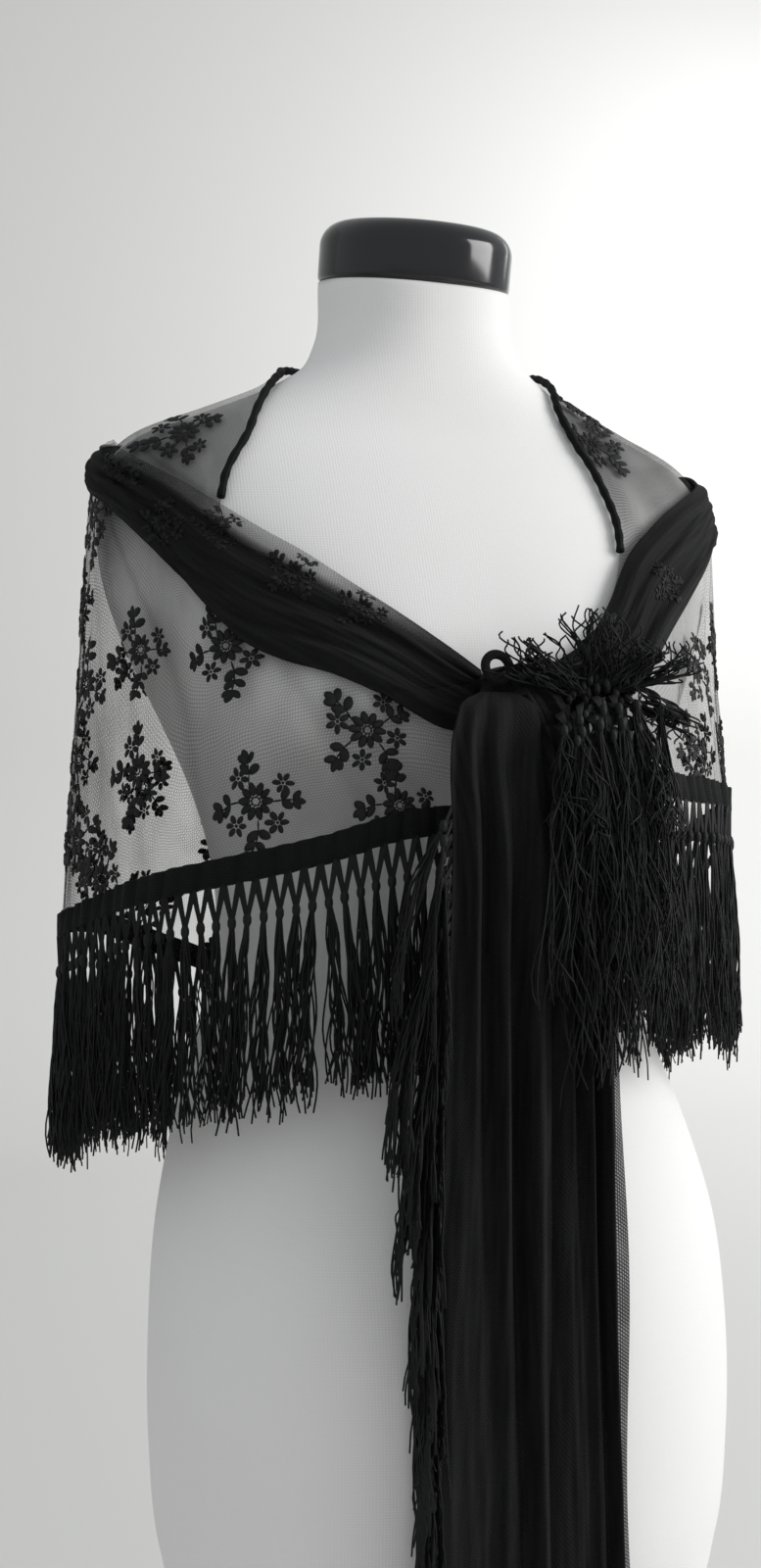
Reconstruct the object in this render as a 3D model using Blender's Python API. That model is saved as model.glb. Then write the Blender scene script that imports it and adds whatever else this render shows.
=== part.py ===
"""Lace shawl with a knotted fringe, tied at the front of a dress form.

Metres, +Z up. The origin is the centre of the base's underside, and the form's front faces -Y. Azimuths are
degrees round the form from the front, growing towards its -X side.
"""

import bpy
import numpy as np

# Cloth and seams
NET_WALL = 0.0012
FOLD_WALL = 0.0020
TAIL_WALL = 0.0016
SEAM = 0.0003
FORM_CLEARANCE = 0.0021
REST_ROUNDING = 0.003
HEADER_HEIGHT = 0.015
HEADER_WALL = 0.0010
ROLLED_EDGE_WIDTH = 0.005
ROLLED_EDGE_WALL = 0.0022
WRAP_ROWS = 15
WRAP_COLUMNS = 67
NECK_EDGE_COLUMNS = slice(15, 58)
HEM_FRINGE_ENDS = (0, 17, 33, 50, WRAP_COLUMNS - 1)

# Hem of the hanging cloth, as half an ellipse in front and half an ellipse behind
HEM_LEFT = 0.203
HEM_RIGHT = 0.188
HEM_FRONT = 0.150
HEM_BACK = 0.138
HEM_SQUARENESS = 2.15

# Fringe
FRINGE_PITCH = 0.0115
BUNCH_PITCH = 0.0055
SIDE_PITCH = 0.019
SIDE_WIDTH = 0.0046
SIDE_LENGTH = 0.108
SIDE_FRINGE_TOP = 0.705
END_WIDTH = 0.008
FRINGE_LENGTH = 0.118
STRIP_HEIGHT = 0.0022
STRIP_WALL = 0.0016

# Dress form and stand
FORM_SQUARENESS = 2.3
BUST_AZIMUTH = 37
BUST_HEIGHT = 0.750
BUST_RISE = 0.016
BUST_SPREAD = 21
BUST_TALL = 0.040
NECK_TOP = 1.0095
NECK_TILT = 0.2272
TILT_START = 0.962
CAP_RADIUS = 0.0572
CAP_HEIGHT = 0.034
CAP_EDGE = 0.014
BASE_RADIUS = 0.150
BASE_HEIGHT = 0.016
POLE_RADIUS = 0.014
SOCKET_RADIUS = 0.036
SOCKET_HEIGHT = 0.024

# height, half width, front depth, back depth and forward shift of the dress form
FORM_SECTIONS = np.array(
    (
        (0.2350, 0.110, 0.074, 0.086, 0.045),
        (0.2430, 0.131, 0.092, 0.104, 0.045),
        (0.2600, 0.147, 0.106, 0.118, 0.045),
        (0.2950, 0.159, 0.115, 0.127, 0.045),
        (0.3500, 0.165, 0.119, 0.130, 0.045),
        (0.4200, 0.165, 0.118, 0.130, 0.044),
        (0.4700, 0.161, 0.113, 0.125, 0.040),
        (0.5200, 0.150, 0.106, 0.114, 0.030),
        (0.5700, 0.134, 0.099, 0.098, 0.018),
        (0.6200, 0.120, 0.095, 0.087, 0.008),
        (0.6700, 0.121, 0.099, 0.086, 0.002),
        (0.7100, 0.132, 0.110, 0.090, 0.000),
        (0.7500, 0.150, 0.124, 0.095, 0.000),
        (0.7900, 0.170, 0.120, 0.098, 0.000),
        (0.8350, 0.185, 0.104, 0.099, 0.000),
        (0.8700, 0.187, 0.088, 0.095, 0.000),
        (0.8940, 0.182, 0.075, 0.085, 0.000),
        (0.9095, 0.165, 0.066, 0.075, 0.000),
        (0.9230, 0.133, 0.062, 0.068, 0.000),
        (0.9380, 0.099, 0.059, 0.063, 0.000),
        (0.9560, 0.070, 0.056, 0.058, 0.000),
        (0.9750, 0.0585, 0.0545, 0.0555, 0.000),
        (NECK_TOP, 0.0555, 0.0545, 0.0545, 0.000),
    )
)

# azimuth and height at the top edge, then at the lower edge, of each station round the shawl
WRAP_STATIONS = np.array(
    (
        (11, 0.762, 12, 0.690),
        (22, 0.789, 24, 0.686),
        (36, 0.809, 36, 0.675),
        (50, 0.831, 50, 0.665),
        (60, 0.846, 61, 0.657),
        (63, 0.874, 72, 0.648),
        (64, 0.905, 84, 0.637),
        (71, 0.934, 94, 0.628),
        (86, 0.950, 106, 0.628),
        (112, 0.960, 124, 0.616),
        (147, 0.966, 150, 0.584),
        (180, 0.968, 180, 0.562),
        (213, 0.966, 210, 0.584),
        (246, 0.963, 236, 0.620),
        (272, 0.960, 256, 0.652),
        (292, 0.953, 270, 0.676),
        (307, 0.935, 281, 0.689),
        (310, 0.910, 291, 0.697),
        (312.5, 0.884, 299, 0.701),
        (315, 0.858, 307, 0.703),
        (321, 0.830, 317, 0.705),
        (333, 0.796, 328, 0.709),
        (345, 0.768, 345, 0.715),
    )
)

# azimuth, and the height at which the cloth leaves the form there
LEAVES_FORM = np.array(
    (
        (-30, 0.772),
        (0, 0.765),
        (40, 0.765),
        (60, 0.800),
        (80, 0.872),
        (98, 0.880),
        (125, 0.866),
        (180, 0.852),
        (235, 0.866),
        (262, 0.880),
        (280, 0.872),
        (300, 0.805),
        (320, 0.772),
        (360, 0.765),
        (390, 0.765),
    )
)

# azimuth, half width in degrees and rise of each soft fold of the hanging cloth, at the hem
HANG_FOLDS = np.array(
    (
        (34, 10, 0.0020),
        (58, 9, 0.0030),
        (76, 8, -0.0030),
        (93, 9, 0.0030),
        (111, 9, -0.0040),
        (129, 9, 0.0070),
        (148, 10, -0.0050),
        (168, 10, 0.0065),
        (189, 10, -0.0045),
        (210, 10, 0.0070),
        (231, 10, -0.0050),
        (251, 9, 0.0045),
        (268, 9, -0.0030),
        (290, 10, 0.0015),
        (318, 11, -0.0020),
    )
)

# azimuth, height of the upper and of the lower edge, lift of the ridges over the net
LEFT_FOLD = np.array(
    (
        (99, 0.914, 0.893, 0.0016),
        (90, 0.904, 0.880, 0.0026),
        (80, 0.892, 0.862, 0.0038),
        (71, 0.877, 0.838, 0.0048),
        (62, 0.860, 0.808, 0.0056),
        (54, 0.846, 0.787, 0.0060),
        (46, 0.834, 0.777, 0.0062),
        (36, 0.818, 0.769, 0.0060),
        (26, 0.803, 0.757, 0.0056),
        (16, 0.788, 0.743, 0.0050),
        (6, 0.773, 0.739, 0.0042),
    )
)
RIGHT_FOLD = np.array(
    (
        (264, 0.912, 0.893, 0.0008),
        (273, 0.905, 0.876, 0.0012),
        (284, 0.893, 0.860, 0.0026),
        (296, 0.876, 0.834, 0.0058),
        (306, 0.860, 0.812, 0.0078),
        (317, 0.840, 0.790, 0.0088),
        (328, 0.812, 0.768, 0.0080),
        (338, 0.790, 0.753, 0.0066),
        (347, 0.778, 0.746, 0.0050),
        (353, 0.772, 0.744, 0.0040),
    )
)
LEFT_RIDGES = 4
RIGHT_RIDGES = 3

# height, left edge, right edge, distance in front of the axis and depth of the pleats
FRONT_TAIL = np.array(
    (
        (0.7402, -0.017, 0.004, 0.1497, 0.0008),
        (0.7320, -0.033, 0.004, 0.1600, 0.0020),
        (0.7240, -0.041, 0.004, 0.1660, 0.0030),
        (0.7000, -0.046, 0.006, 0.1710, 0.0045),
        (0.6200, -0.049, 0.006, 0.1740, 0.0060),
        (0.5000, -0.053, 0.007, 0.1760, 0.0065),
        (0.3600, -0.057, 0.007, 0.1780, 0.0070),
        (0.2250, -0.060, 0.008, 0.1780, 0.0070),
    )
)
BACK_TAIL = np.array(
    (
        (0.7410, 0.0075, 0.024, 0.1525, 0.0008),
        (0.7320, 0.0080, 0.031, 0.1610, 0.0020),
        (0.7200, 0.0085, 0.035, 0.1650, 0.0030),
        (0.6900, 0.0085, 0.040, 0.1690, 0.0045),
        (0.6000, 0.0085, 0.042, 0.1720, 0.0050),
        (0.4800, 0.0095, 0.044, 0.1740, 0.0055),
        (0.3500, 0.0095, 0.047, 0.1760, 0.0060),
        (0.2420, 0.0105, 0.049, 0.1760, 0.0060),
    )
)
FRONT_PLEATS = 4
BACK_PLEATS = 3
TAIL_ROW_SPREAD = 1.5

# Knot and the piece that crosses it: azimuths, heights, lift over the net, thickness, grooves and their slant
KNOT_CORE = dict(azimuths=(8.5, -12.5), heights=(0.737, 0.774), out=0.0092, thick=0.0175, grooves=3, slant=0.5)
CROSS = dict(azimuths=(-13.5, -25), heights=(0.742, 0.770), out=0.0104, thick=0.0095, grooves=2, slant=0.9)
LOOP_CENTRE = (-0.0155, -0.1540, 0.7680)
LOOP_RADIUS = 0.0064
LOOP_THICK = 0.0024

# Fringe that the knot gathers: where its strip lies over the back tail, and its length
BUNCH_ROOTS = np.array(
    ((0.012, -0.1724, 0.7270), (0.032, -0.1718, 0.7290), (0.052, -0.1690, 0.7325), (0.072, -0.1600, 0.7370))
)
BUNCH_LENGTH = 0.150
TUFT_LENGTH = 0.034
TUFT_HEIGHT = 0.7565

# fall below the strip, share of the width and share of the strip's wall, at three places down a lock
LOCK_SHAPE = ((0.010, 0.40, 0.9), (0.019, 0.62, 1.7), (0.070, 0.78, 1.9))


def clear_scene():
    for old in list(bpy.data.objects):
        bpy.data.objects.remove(old)


def material(name, colour, roughness, metallic=0.0):
    made = bpy.data.materials.new(name)
    made.use_nodes = True
    shader = made.node_tree.nodes["Principled BSDF"]
    shader.inputs["Base Color"].default_value = (*colour, 1)
    shader.inputs["Roughness"].default_value = roughness
    shader.inputs["Metallic"].default_value = metallic
    return made


def through(where, at, values):
    """A smooth curve through the values given at rising places, read at other places."""
    slopes = np.gradient(values, at)
    low = np.clip(np.searchsorted(at, where) - 1, 0, len(at) - 2)
    step = at[low + 1] - at[low]
    t = np.clip((where - at[low]) / step, 0, 1)
    rise = values[low + 1] - values[low]
    start, end = slopes[low] * step, slopes[low + 1] * step
    return values[low] + t * start + t**2 * (3 * rise - 2 * start - end) + t**3 * (start + end - 2 * rise)


def squared_radius(azimuth, half_width, front, back, squareness):
    """Distance from the axis to a rounded oval, whose front half and back half differ in depth."""
    across = np.abs(np.sin(azimuth)) / half_width
    along = np.abs(np.cos(azimuth)) / np.where(np.cos(azimuth) > 0, front, back)
    return (across**squareness + along**squareness) ** (-1 / squareness)


def form_radius(azimuth, height):
    at = FORM_SECTIONS[:, 0]
    sizes = [through(height, at, FORM_SECTIONS[:, column]) for column in (1, 2, 3)]
    turned = np.degrees(np.arctan2(np.sin(azimuth), np.cos(azimuth)))
    aside = (np.abs(turned) - BUST_AZIMUTH) / BUST_SPREAD
    bust = np.exp(-(aside**2) - ((height - BUST_HEIGHT) / BUST_TALL) ** 2)
    return squared_radius(azimuth, *sizes, FORM_SQUARENESS) + BUST_RISE * bust


def at_azimuth(azimuth, radius, height):
    return np.stack([-radius * np.sin(azimuth), -radius * np.cos(azimuth), height + 0 * radius], -1)


def rest_radius(azimuth, height):
    """The form's radius, let out so that cloth keeps its clearance square to a sloping shoulder."""
    step = 0.001
    radius = form_radius(azimuth, height)
    slope = (form_radius(azimuth, height + step) - form_radius(azimuth, height - step)) / (2 * step)
    return radius + FORM_CLEARANCE * np.sqrt(1 + slope**2)


def cloth_radius(azimuth, height):
    """Where the net lies: on the form down to the height where it leaves it, and then hanging to the hem."""
    degrees = np.degrees(azimuth) % 360
    leaves = through(degrees, LEAVES_FORM[:, 0], LEAVES_FORM[:, 1])
    hem = through(degrees, WRAP_STATIONS[:, 2], WRAP_STATIONS[:, 3])
    drop = (leaves - height) / (leaves - hem)
    start = rest_radius(azimuth, leaves)
    half_width = np.where(np.sin(azimuth) > 0, HEM_LEFT, HEM_RIGHT)
    end = squared_radius(azimuth, half_width, HEM_FRONT, HEM_BACK, HEM_SQUARENESS)
    folds = np.zeros_like(degrees)
    for middle, half_width, rise in HANG_FOLDS:
        folds = folds + rise * np.exp(-(((degrees - middle) / half_width) ** 2))
    hanging = start + (end - start) * np.clip(drop, 0, 1.3) ** 0.85 + np.clip(drop, -0.2, 1.3) * folds
    hanging = hanging - 1.5 * np.clip(height - leaves, 0, None)
    resting = rest_radius(azimuth, height)
    apart = hanging - resting
    return resting + 0.5 * (apart + np.sqrt(apart**2 + REST_ROUNDING**2))


def on_cloth(azimuth, height, out=0.0):
    """A point of the net's inner face, moved out square to it. Azimuth in degrees."""
    turn = np.radians(np.asarray(azimuth, float))
    height = np.asarray(height, float)
    step = 0.002

    def place(angle, level):
        return at_azimuth(angle, cloth_radius(angle, level), level)

    round_it = place(turn - step, height) - place(turn + step, height)
    up_it = place(turn, height + step) - place(turn, height - step)
    normal = np.cross(round_it, up_it)
    normal /= np.linalg.norm(normal, axis=-1, keepdims=True)
    return place(turn, height) + np.asarray(out, float)[..., None] * normal


def outward_of(grid):
    """Directions square to a grid whose rows run down and whose columns run round with the azimuth."""
    normal = np.cross(np.gradient(grid, axis=1), np.gradient(grid, axis=0))
    return normal / np.linalg.norm(normal, axis=-1, keepdims=True)


def add_solid(name, points, faces, finish):
    """One closed object from points and faces, turned to face outwards, with smooth shading."""
    points = np.asarray(points, float)
    volume = 0.0
    for face in faces:
        corners = points[list(face)]
        fan = np.cross(corners[1:-1], corners[2:])
        volume += float((corners[0] * fan).sum())
    if volume < 0:
        faces = [tuple(face)[::-1] for face in faces]
    mesh = bpy.data.meshes.new(name)
    mesh.from_pydata(points.tolist(), [], [tuple(int(i) for i in face) for face in faces])
    mesh.materials.append(finish)
    mesh.shade_smooth()
    made = bpy.data.objects.new(name, mesh)
    bpy.context.scene.collection.objects.link(made)
    return made


def sheet(name, face, back, finish):
    """Cloth with a wall: a grid for its face, the same grid for its back, and a rim round both."""
    rows, columns = face.shape[:2]
    index = np.arange(rows * columns).reshape(rows, columns)
    quads = np.stack([index[:-1, :-1], index[1:, :-1], index[1:, 1:], index[:-1, 1:]], -1).reshape(-1, 4)
    rim = np.concatenate([index[0, :-1], index[:-1, -1], index[-1, :0:-1], index[:0:-1, 0]])
    after = np.roll(rim, -1)
    below = rows * columns
    walls = np.stack([rim, after, after + below, rim + below], -1)
    faces = np.concatenate([quads, quads[:, ::-1] + below, walls])
    points = np.concatenate([face.reshape(-1, 3), back.reshape(-1, 3)])
    return add_solid(name, points, faces.tolist(), finish)


def rings(name, loops, finish):
    """A solid through closed rings of points, with a flat face over the first and the last."""
    count, sides = loops.shape[:2]
    index = np.arange(count * sides).reshape(count, sides)
    turned = np.roll(index, -1, axis=1)
    walls = np.stack([index[:-1], turned[:-1], turned[1:], index[1:]], -1).reshape(-1, 4)
    faces = [index[0].tolist()[::-1], *walls.tolist(), index[-1].tolist()]
    return add_solid(name, loops.reshape(-1, 3), faces, finish)


def turned_solid(name, profile, finish, sides=32, middle=(0, 0, 0), tilt=0.0):
    """A round solid from (radius, height) pairs, leaned forward by a tilt in radians."""
    around = np.linspace(0, 2 * np.pi, sides, endpoint=False)
    profile = np.array(profile)
    x = profile[:, :1] * np.cos(around)
    y = profile[:, :1] * np.sin(around)
    z = profile[:, 1:] + 0 * x
    leaned = np.stack([x, y * np.cos(tilt) - z * np.sin(tilt), y * np.sin(tilt) + z * np.cos(tilt)], -1)
    return rings(name, leaned + np.array(middle), finish)


def spread_rows(points, rows, bend_weight=0.045):
    """Places along each column that share out its length, closer together where the column bends."""
    steps = np.linalg.norm(np.diff(points, axis=0), axis=-1)
    heading = np.diff(points, axis=0) / steps[..., None]
    bend = np.linalg.norm(np.diff(heading, axis=0), axis=-1)
    bend = np.concatenate([bend[:1], bend])
    share = np.cumsum(steps + bend_weight * bend, axis=0)
    share = np.concatenate([np.zeros_like(share[:1]), share])
    share /= share[-1]
    dense = np.linspace(0, 1, len(points))
    wanted = np.linspace(0, 1, rows)
    return np.stack([np.interp(wanted, share[:, k], dense) for k in range(points.shape[1])], 1)


def wrap_columns(columns):
    """Azimuth and height of the net's top and lower edges at even steps from one front edge to the other."""
    station = np.arange(len(WRAP_STATIONS))
    place = np.linspace(0, len(WRAP_STATIONS) - 1, columns)
    return [through(place, station, WRAP_STATIONS[:, k]) for k in range(4)]


def wrap_grid(rows, columns):
    """The net's inner face, as a row of columns that run from the top edge down to the hem."""
    top_azimuth, top_height, hem_azimuth, hem_height = wrap_columns(columns)

    def place(down):
        azimuth = top_azimuth + (hem_azimuth - top_azimuth) * down
        height = top_height + (hem_height - top_height) * down
        return on_cloth(azimuth, height)

    dense = place(np.repeat(np.linspace(0, 1, 160)[:, None], columns, 1))
    return place(spread_rows(dense, rows))


def make_form(white, black, steel):
    at = FORM_SECTIONS[:, 0]
    heights = np.concatenate([at[:3], np.linspace(at[3], 0.70, 8), np.linspace(0.73, at[-3], 13), at[-2:]])
    turn = np.linspace(0, 2 * np.pi, 32, endpoint=False)
    azimuth = np.arctan2(1.7 * np.sin(turn), np.cos(turn))
    grid_azimuth, grid_height = np.meshgrid(azimuth, heights)
    loops = at_azimuth(grid_azimuth, form_radius(grid_azimuth, grid_height), grid_height)
    loops[..., 1] -= through(grid_height, at, FORM_SECTIONS[:, 4])
    lean = np.clip((grid_height - TILT_START) / (NECK_TOP - TILT_START), 0, 1)
    loops[..., 2] += NECK_TILT * lean * loops[..., 1]
    rings("dress_form", loops, white)
    edge = np.radians(np.linspace(0, 90, 4))
    rounded = [
        (CAP_RADIUS - CAP_EDGE * (1 - np.cos(a)), CAP_HEIGHT - CAP_EDGE * (1 - np.sin(a))) for a in edge
    ]
    profile = [(CAP_RADIUS - 0.002, 0), (CAP_RADIUS, 0.003), *rounded]
    middle = (0, 0, NECK_TOP + 0.0006)
    turned_solid("neck_cap", profile, black, sides=28, middle=middle, tilt=np.arctan(NECK_TILT))
    base = [(BASE_RADIUS, 0), (BASE_RADIUS, 0.009), (BASE_RADIUS - 0.007, BASE_HEIGHT)]
    turned_solid("stand_base", base, steel)
    pole_top = FORM_SECTIONS[0, 0] - SEAM - SOCKET_HEIGHT - SEAM
    pole = [(POLE_RADIUS, BASE_HEIGHT + SEAM), (POLE_RADIUS, pole_top)]
    turned_solid("stand_pole", pole, steel, sides=20)
    socket_low = pole_top + SEAM
    socket = [
        (0.019, socket_low),
        (0.021, socket_low + 0.015),
        (SOCKET_RADIUS, socket_low + 0.018),
        (SOCKET_RADIUS, socket_low + SOCKET_HEIGHT),
    ]
    turned_solid("stand_socket", socket, steel, sides=24)


def make_wrap(net, trim):
    inner = wrap_grid(WRAP_ROWS, WRAP_COLUMNS)
    normal = outward_of(inner)
    outer = inner + NET_WALL * normal
    sheet("shawl_wrap", outer, inner, net)
    up = outer[-2] - outer[-1]
    up *= HEADER_HEIGHT / np.linalg.norm(up, axis=-1, keepdims=True)
    low_face = outer[-1] + (2 * SEAM + HEADER_WALL) * normal[-1]
    low_back = outer[-1] + 2 * SEAM * normal[-1]
    face = np.stack([low_face + up, low_face])
    back = np.stack([low_back + up, low_back])
    sheet("hem_band", face, back, trim)
    out = normal[0, NECK_EDGE_COLUMNS]
    top = outer[0, NECK_EDGE_COLUMNS] - 0.5 * NET_WALL * out
    away = inner[0, NECK_EDGE_COLUMNS] - inner[1, NECK_EDGE_COLUMNS]
    away /= np.linalg.norm(away, axis=-1, keepdims=True)
    corners = ((0, -1), (1, -1), (1, 1), (0, 1))
    loops = [
        top
        + away * (2 * SEAM + ROLLED_EDGE_WIDTH * side)
        + out * (0.0004 + 0.0012 * side + ROLLED_EDGE_WALL / 2 * (1 + level))
        for side, level in corners
    ]
    rings("neck_edge", np.stack(loops, 1), trim)
    return 0.5 * (inner[-1] + outer[-1])


def make_fold(name, table, ridges, ends, cloth):
    """A front edge folded on itself: parallel ridges over the net, gathered towards both ends."""
    order = np.argsort(table[:, 0])
    at = table[order, 0]
    azimuth = np.linspace(at[0], at[-1], ends)
    upper, lower, lift = [through(azimuth, at, table[order, k]) for k in (1, 2, 3)]
    across = np.linspace(0, 1, 3 * ridges + 1)[:, None]
    height = upper + (lower - upper) * across
    wave = 0.5 - 0.5 * np.cos(2 * np.pi * ridges * across)
    edge = np.clip(6 * np.minimum(across, 1 - across), 0, 1)
    raised = NET_WALL + 0.0011 + lift * (0.15 + 0.85 * wave * edge)
    azimuth = azimuth + 0 * height
    back = on_cloth(azimuth, height, raised)
    face = on_cloth(azimuth, height, raised + FOLD_WALL)
    sheet(name, face, back, cloth)


def make_pad(name, cloth, azimuths, heights, out, thick, grooves, slant):
    """A rounded lump of folded cloth lying on the folds, with grooves that run across it at a slant."""
    square_across, square_down = np.meshgrid(np.linspace(-1, 1, 9), np.linspace(-1, 1, 8))
    across = square_across * np.sqrt(1 - 0.35 * square_down**2)
    down = square_down * np.sqrt(1 - 0.35 * square_across**2)
    azimuth = np.interp(across, (-1, 1), azimuths)
    height = np.interp(down, (-1, 1), heights)
    dome = np.sqrt(1 - 0.94 * np.maximum(square_across**2, square_down**2))
    groove = 1 - 0.16 * (0.5 + 0.5 * np.cos(np.pi * grooves * (across + slant * down)))
    back = on_cloth(azimuth, height, out + 0 * across)
    face = on_cloth(azimuth, height, out + thick * dome * groove)
    sheet(name, face, back, cloth)


def make_knot(cloth):
    make_pad("knot_core", cloth, **KNOT_CORE)
    make_pad("knot_cross", cloth, **CROSS)
    turn = np.linspace(0, 2 * np.pi, 17)[:-1]
    centre = LOOP_CENTRE + LOOP_RADIUS * np.stack([np.cos(turn), 0.3 * np.sin(turn), np.sin(turn)], -1)
    outward = np.stack([np.cos(turn), 0 * turn, np.sin(turn)], -1)
    corners = ((1, 0), (0, 1), (-1, 0), (0, -1))
    tube = np.stack([centre + LOOP_THICK * (a * outward + b * np.array((0, 1.0, 0))) for a, b in corners], 1)
    index = np.arange(tube.shape[0] * 4).reshape(-1, 4)
    beside = np.roll(index, -1, axis=0)
    faces = np.stack([index, np.roll(index, -1, 1), np.roll(beside, -1, 1), beside], -1).reshape(-1, 4)
    add_solid("knot_loop", tube.reshape(-1, 3), faces.tolist(), cloth)


def tail_grid(table, pleats, rows, per_pleat):
    """A hanging end of the shawl, pleated across its width."""
    order = np.argsort(table[:, 0])
    at = table[order, 0]
    height = at[-1] - (at[-1] - at[0]) * np.linspace(0, 1, rows)[:, None] ** TAIL_ROW_SPREAD
    left, right, front, depth = [through(height, at, table[order, k]) for k in (1, 2, 3, 4)]
    across = np.linspace(0, 1, per_pleat * pleats + 1)
    wander = 0.35 * np.sin(9 * height)
    wave = np.cos(2 * np.pi * pleats * across + wander)
    uneven = 1 + 0.3 * np.sin(5 * across + 8 * height)
    x = left + (right - left) * across
    y = -front + depth * uneven * wave
    return np.stack([x, y, height + 0 * across], -1)


def make_tail(name, table, pleats, rows, cloth):
    back = tail_grid(table, pleats, rows, 4)
    face = back - np.array((0, TAIL_WALL, 0))
    sheet(name, face, back, cloth)
    return back


def fringe(name, path, outward, lengths, lean, width, finish, strip_down=(0, 0, -1)):
    """Locks of thread on a narrow strip. Each lock narrows to its knot, fills out and runs to a point."""
    count = len(path) - 1
    outward = outward / np.linalg.norm(outward, axis=-1, keepdims=True)
    down = np.broadcast_to(np.array(strip_down, float), path.shape)
    low = path + STRIP_HEIGHT * down
    half = 0.5 * STRIP_WALL * outward
    strip = np.stack([path + half, path - half, low + half, low - half], 1)
    along = np.diff(path, axis=0)
    pitch = np.linalg.norm(along, axis=-1, keepdims=True)
    along = along / pitch
    out = 0.5 * (outward[1:] + outward[:-1])
    middle = 0.5 * (low[1:] + low[:-1])
    sections = []
    for fall, wide, thick in LOCK_SHAPE:
        share = fall / FRINGE_LENGTH
        centre = middle + lengths[:, None] * share * lean
        side = 0.5 * wide * width * along
        deep = 0.5 * thick * STRIP_WALL * out
        corner = [centre - side + deep, centre + side + deep, centre + side - deep, centre - side - deep]
        sections.append(np.stack(corner, 1))
    tips = middle + lengths[:, None] * lean
    points = np.concatenate([strip.reshape(-1, 3), *[s.reshape(-1, 3) for s in sections], tips])
    faces = []
    first_ring = 4 * (count + 1)
    tip_start = first_ring + 4 * count * len(LOCK_SHAPE)
    for i in range(count):
        front_top, back_top, front_low, back_low = range(4 * i, 4 * i + 4)
        next_front_top, next_back_top, next_front_low, next_back_low = range(4 * i + 4, 4 * i + 8)
        faces.append((front_top, next_front_top, next_back_top, back_top))
        faces.append((front_top, front_low, next_front_low, next_front_top))
        faces.append((next_back_top, next_back_low, back_low, back_top))
        ring = (front_low, next_front_low, next_back_low, back_low)
        for level in range(len(LOCK_SHAPE)):
            start = first_ring + 4 * (count * level + i)
            lower = tuple(range(start, start + 4))
            for k in range(4):
                after = (k + 1) % 4
                faces.append((ring[k], lower[k], lower[after], ring[after]))
            ring = lower
        for k in range(4):
            faces.append((ring[k], tip_start + i, ring[(k + 1) % 4]))
    faces.append((1, 3, 2, 0))
    faces.append((4 * count, 4 * count + 2, 4 * count + 3, 4 * count + 1))
    add_solid(name, points, faces, finish)


def even_steps(points, pitch):
    """Points at even steps, as near the pitch as fits, along a dense line of points."""
    length = np.concatenate([[0], np.cumsum(np.linalg.norm(np.diff(points, axis=0), axis=-1))])
    wanted = np.linspace(0, length[-1], int(round(length[-1] / pitch)) + 1)
    return np.stack([np.interp(wanted, length, points[:, k]) for k in range(3)], 1)


def make_hem_fringe(hem, thread, random):
    """Four rows of fringe that follow the net's lower edge, one after the other."""
    names = ("left_front", "left_back", "right_back", "right_front")
    for name, start, end in zip(names, HEM_FRINGE_ENDS[:-1], HEM_FRINGE_ENDS[1:]):
        path = even_steps(hem[start : end + 1], FRINGE_PITCH)
        step = path[1:] - path[:-1]
        path[0] += 0.06 * step[0]
        path[-1] -= 0.06 * step[-1]
        path[:, 2] -= 2 * SEAM
        count = len(path) - 1
        along = np.diff(path, axis=0) * np.array((1, 1, 0))
        along /= np.linalg.norm(along, axis=-1, keepdims=True)
        sway = 0.04 * np.sin(0.9 * np.arange(count))[:, None]
        lean = np.array((0, 0, -1.0)) + sway * along
        lengths = FRINGE_LENGTH * random.uniform(0.93, 1.06, count)
        fringe("hem_fringe_" + name, path, path * np.array((1, 1, 0)), lengths, lean, FRINGE_PITCH, thread)


def make_tail_fringe(front, back, thread, random):
    """The fringe down the front tail's outer side, and the fringe at the end of each tail."""
    beside = front[front[:, 0, 2] < SIDE_FRINGE_TOP, 0]
    beside = beside + np.array((-2 * SEAM, -TAIL_WALL / 2, 0))
    path = even_steps(beside, SIDE_PITCH)
    count = len(path) - 1
    outward = np.tile(np.array((0, -1.0, 0)), (count + 1, 1))
    lean = np.array((-0.26, 0.0, -1.0)) + np.zeros((count, 3))
    lengths = SIDE_LENGTH * random.uniform(0.92, 1.0, count)
    fringe("tail_front_side_fringe", path, outward, lengths, lean, SIDE_WIDTH, thread, strip_down=(-1, 0, 0))
    for name, tail, count in (("tail_front_end_fringe", front, 6), ("tail_back_end_fringe", back, 5)):
        ends = tail[-1] + np.array((0, -TAIL_WALL / 2, -SEAM))
        x = np.linspace(ends[0, 0] + 0.001, ends[-1, 0] - 0.001, count + 1)
        middle = ends[:, 1].mean()
        path = np.stack([x, middle + 0 * x, ends[0, 2] + 0 * x], -1)
        outward = np.tile(np.array((0, -1.0, 0)), (count + 1, 1))
        lean = np.array((0.0, 0.0, -1.0)) + np.zeros((count, 3))
        lengths = FRINGE_LENGTH * random.uniform(0.94, 1.04, count)
        fringe(name, path, outward, lengths, lean, END_WIDTH, thread)


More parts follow.
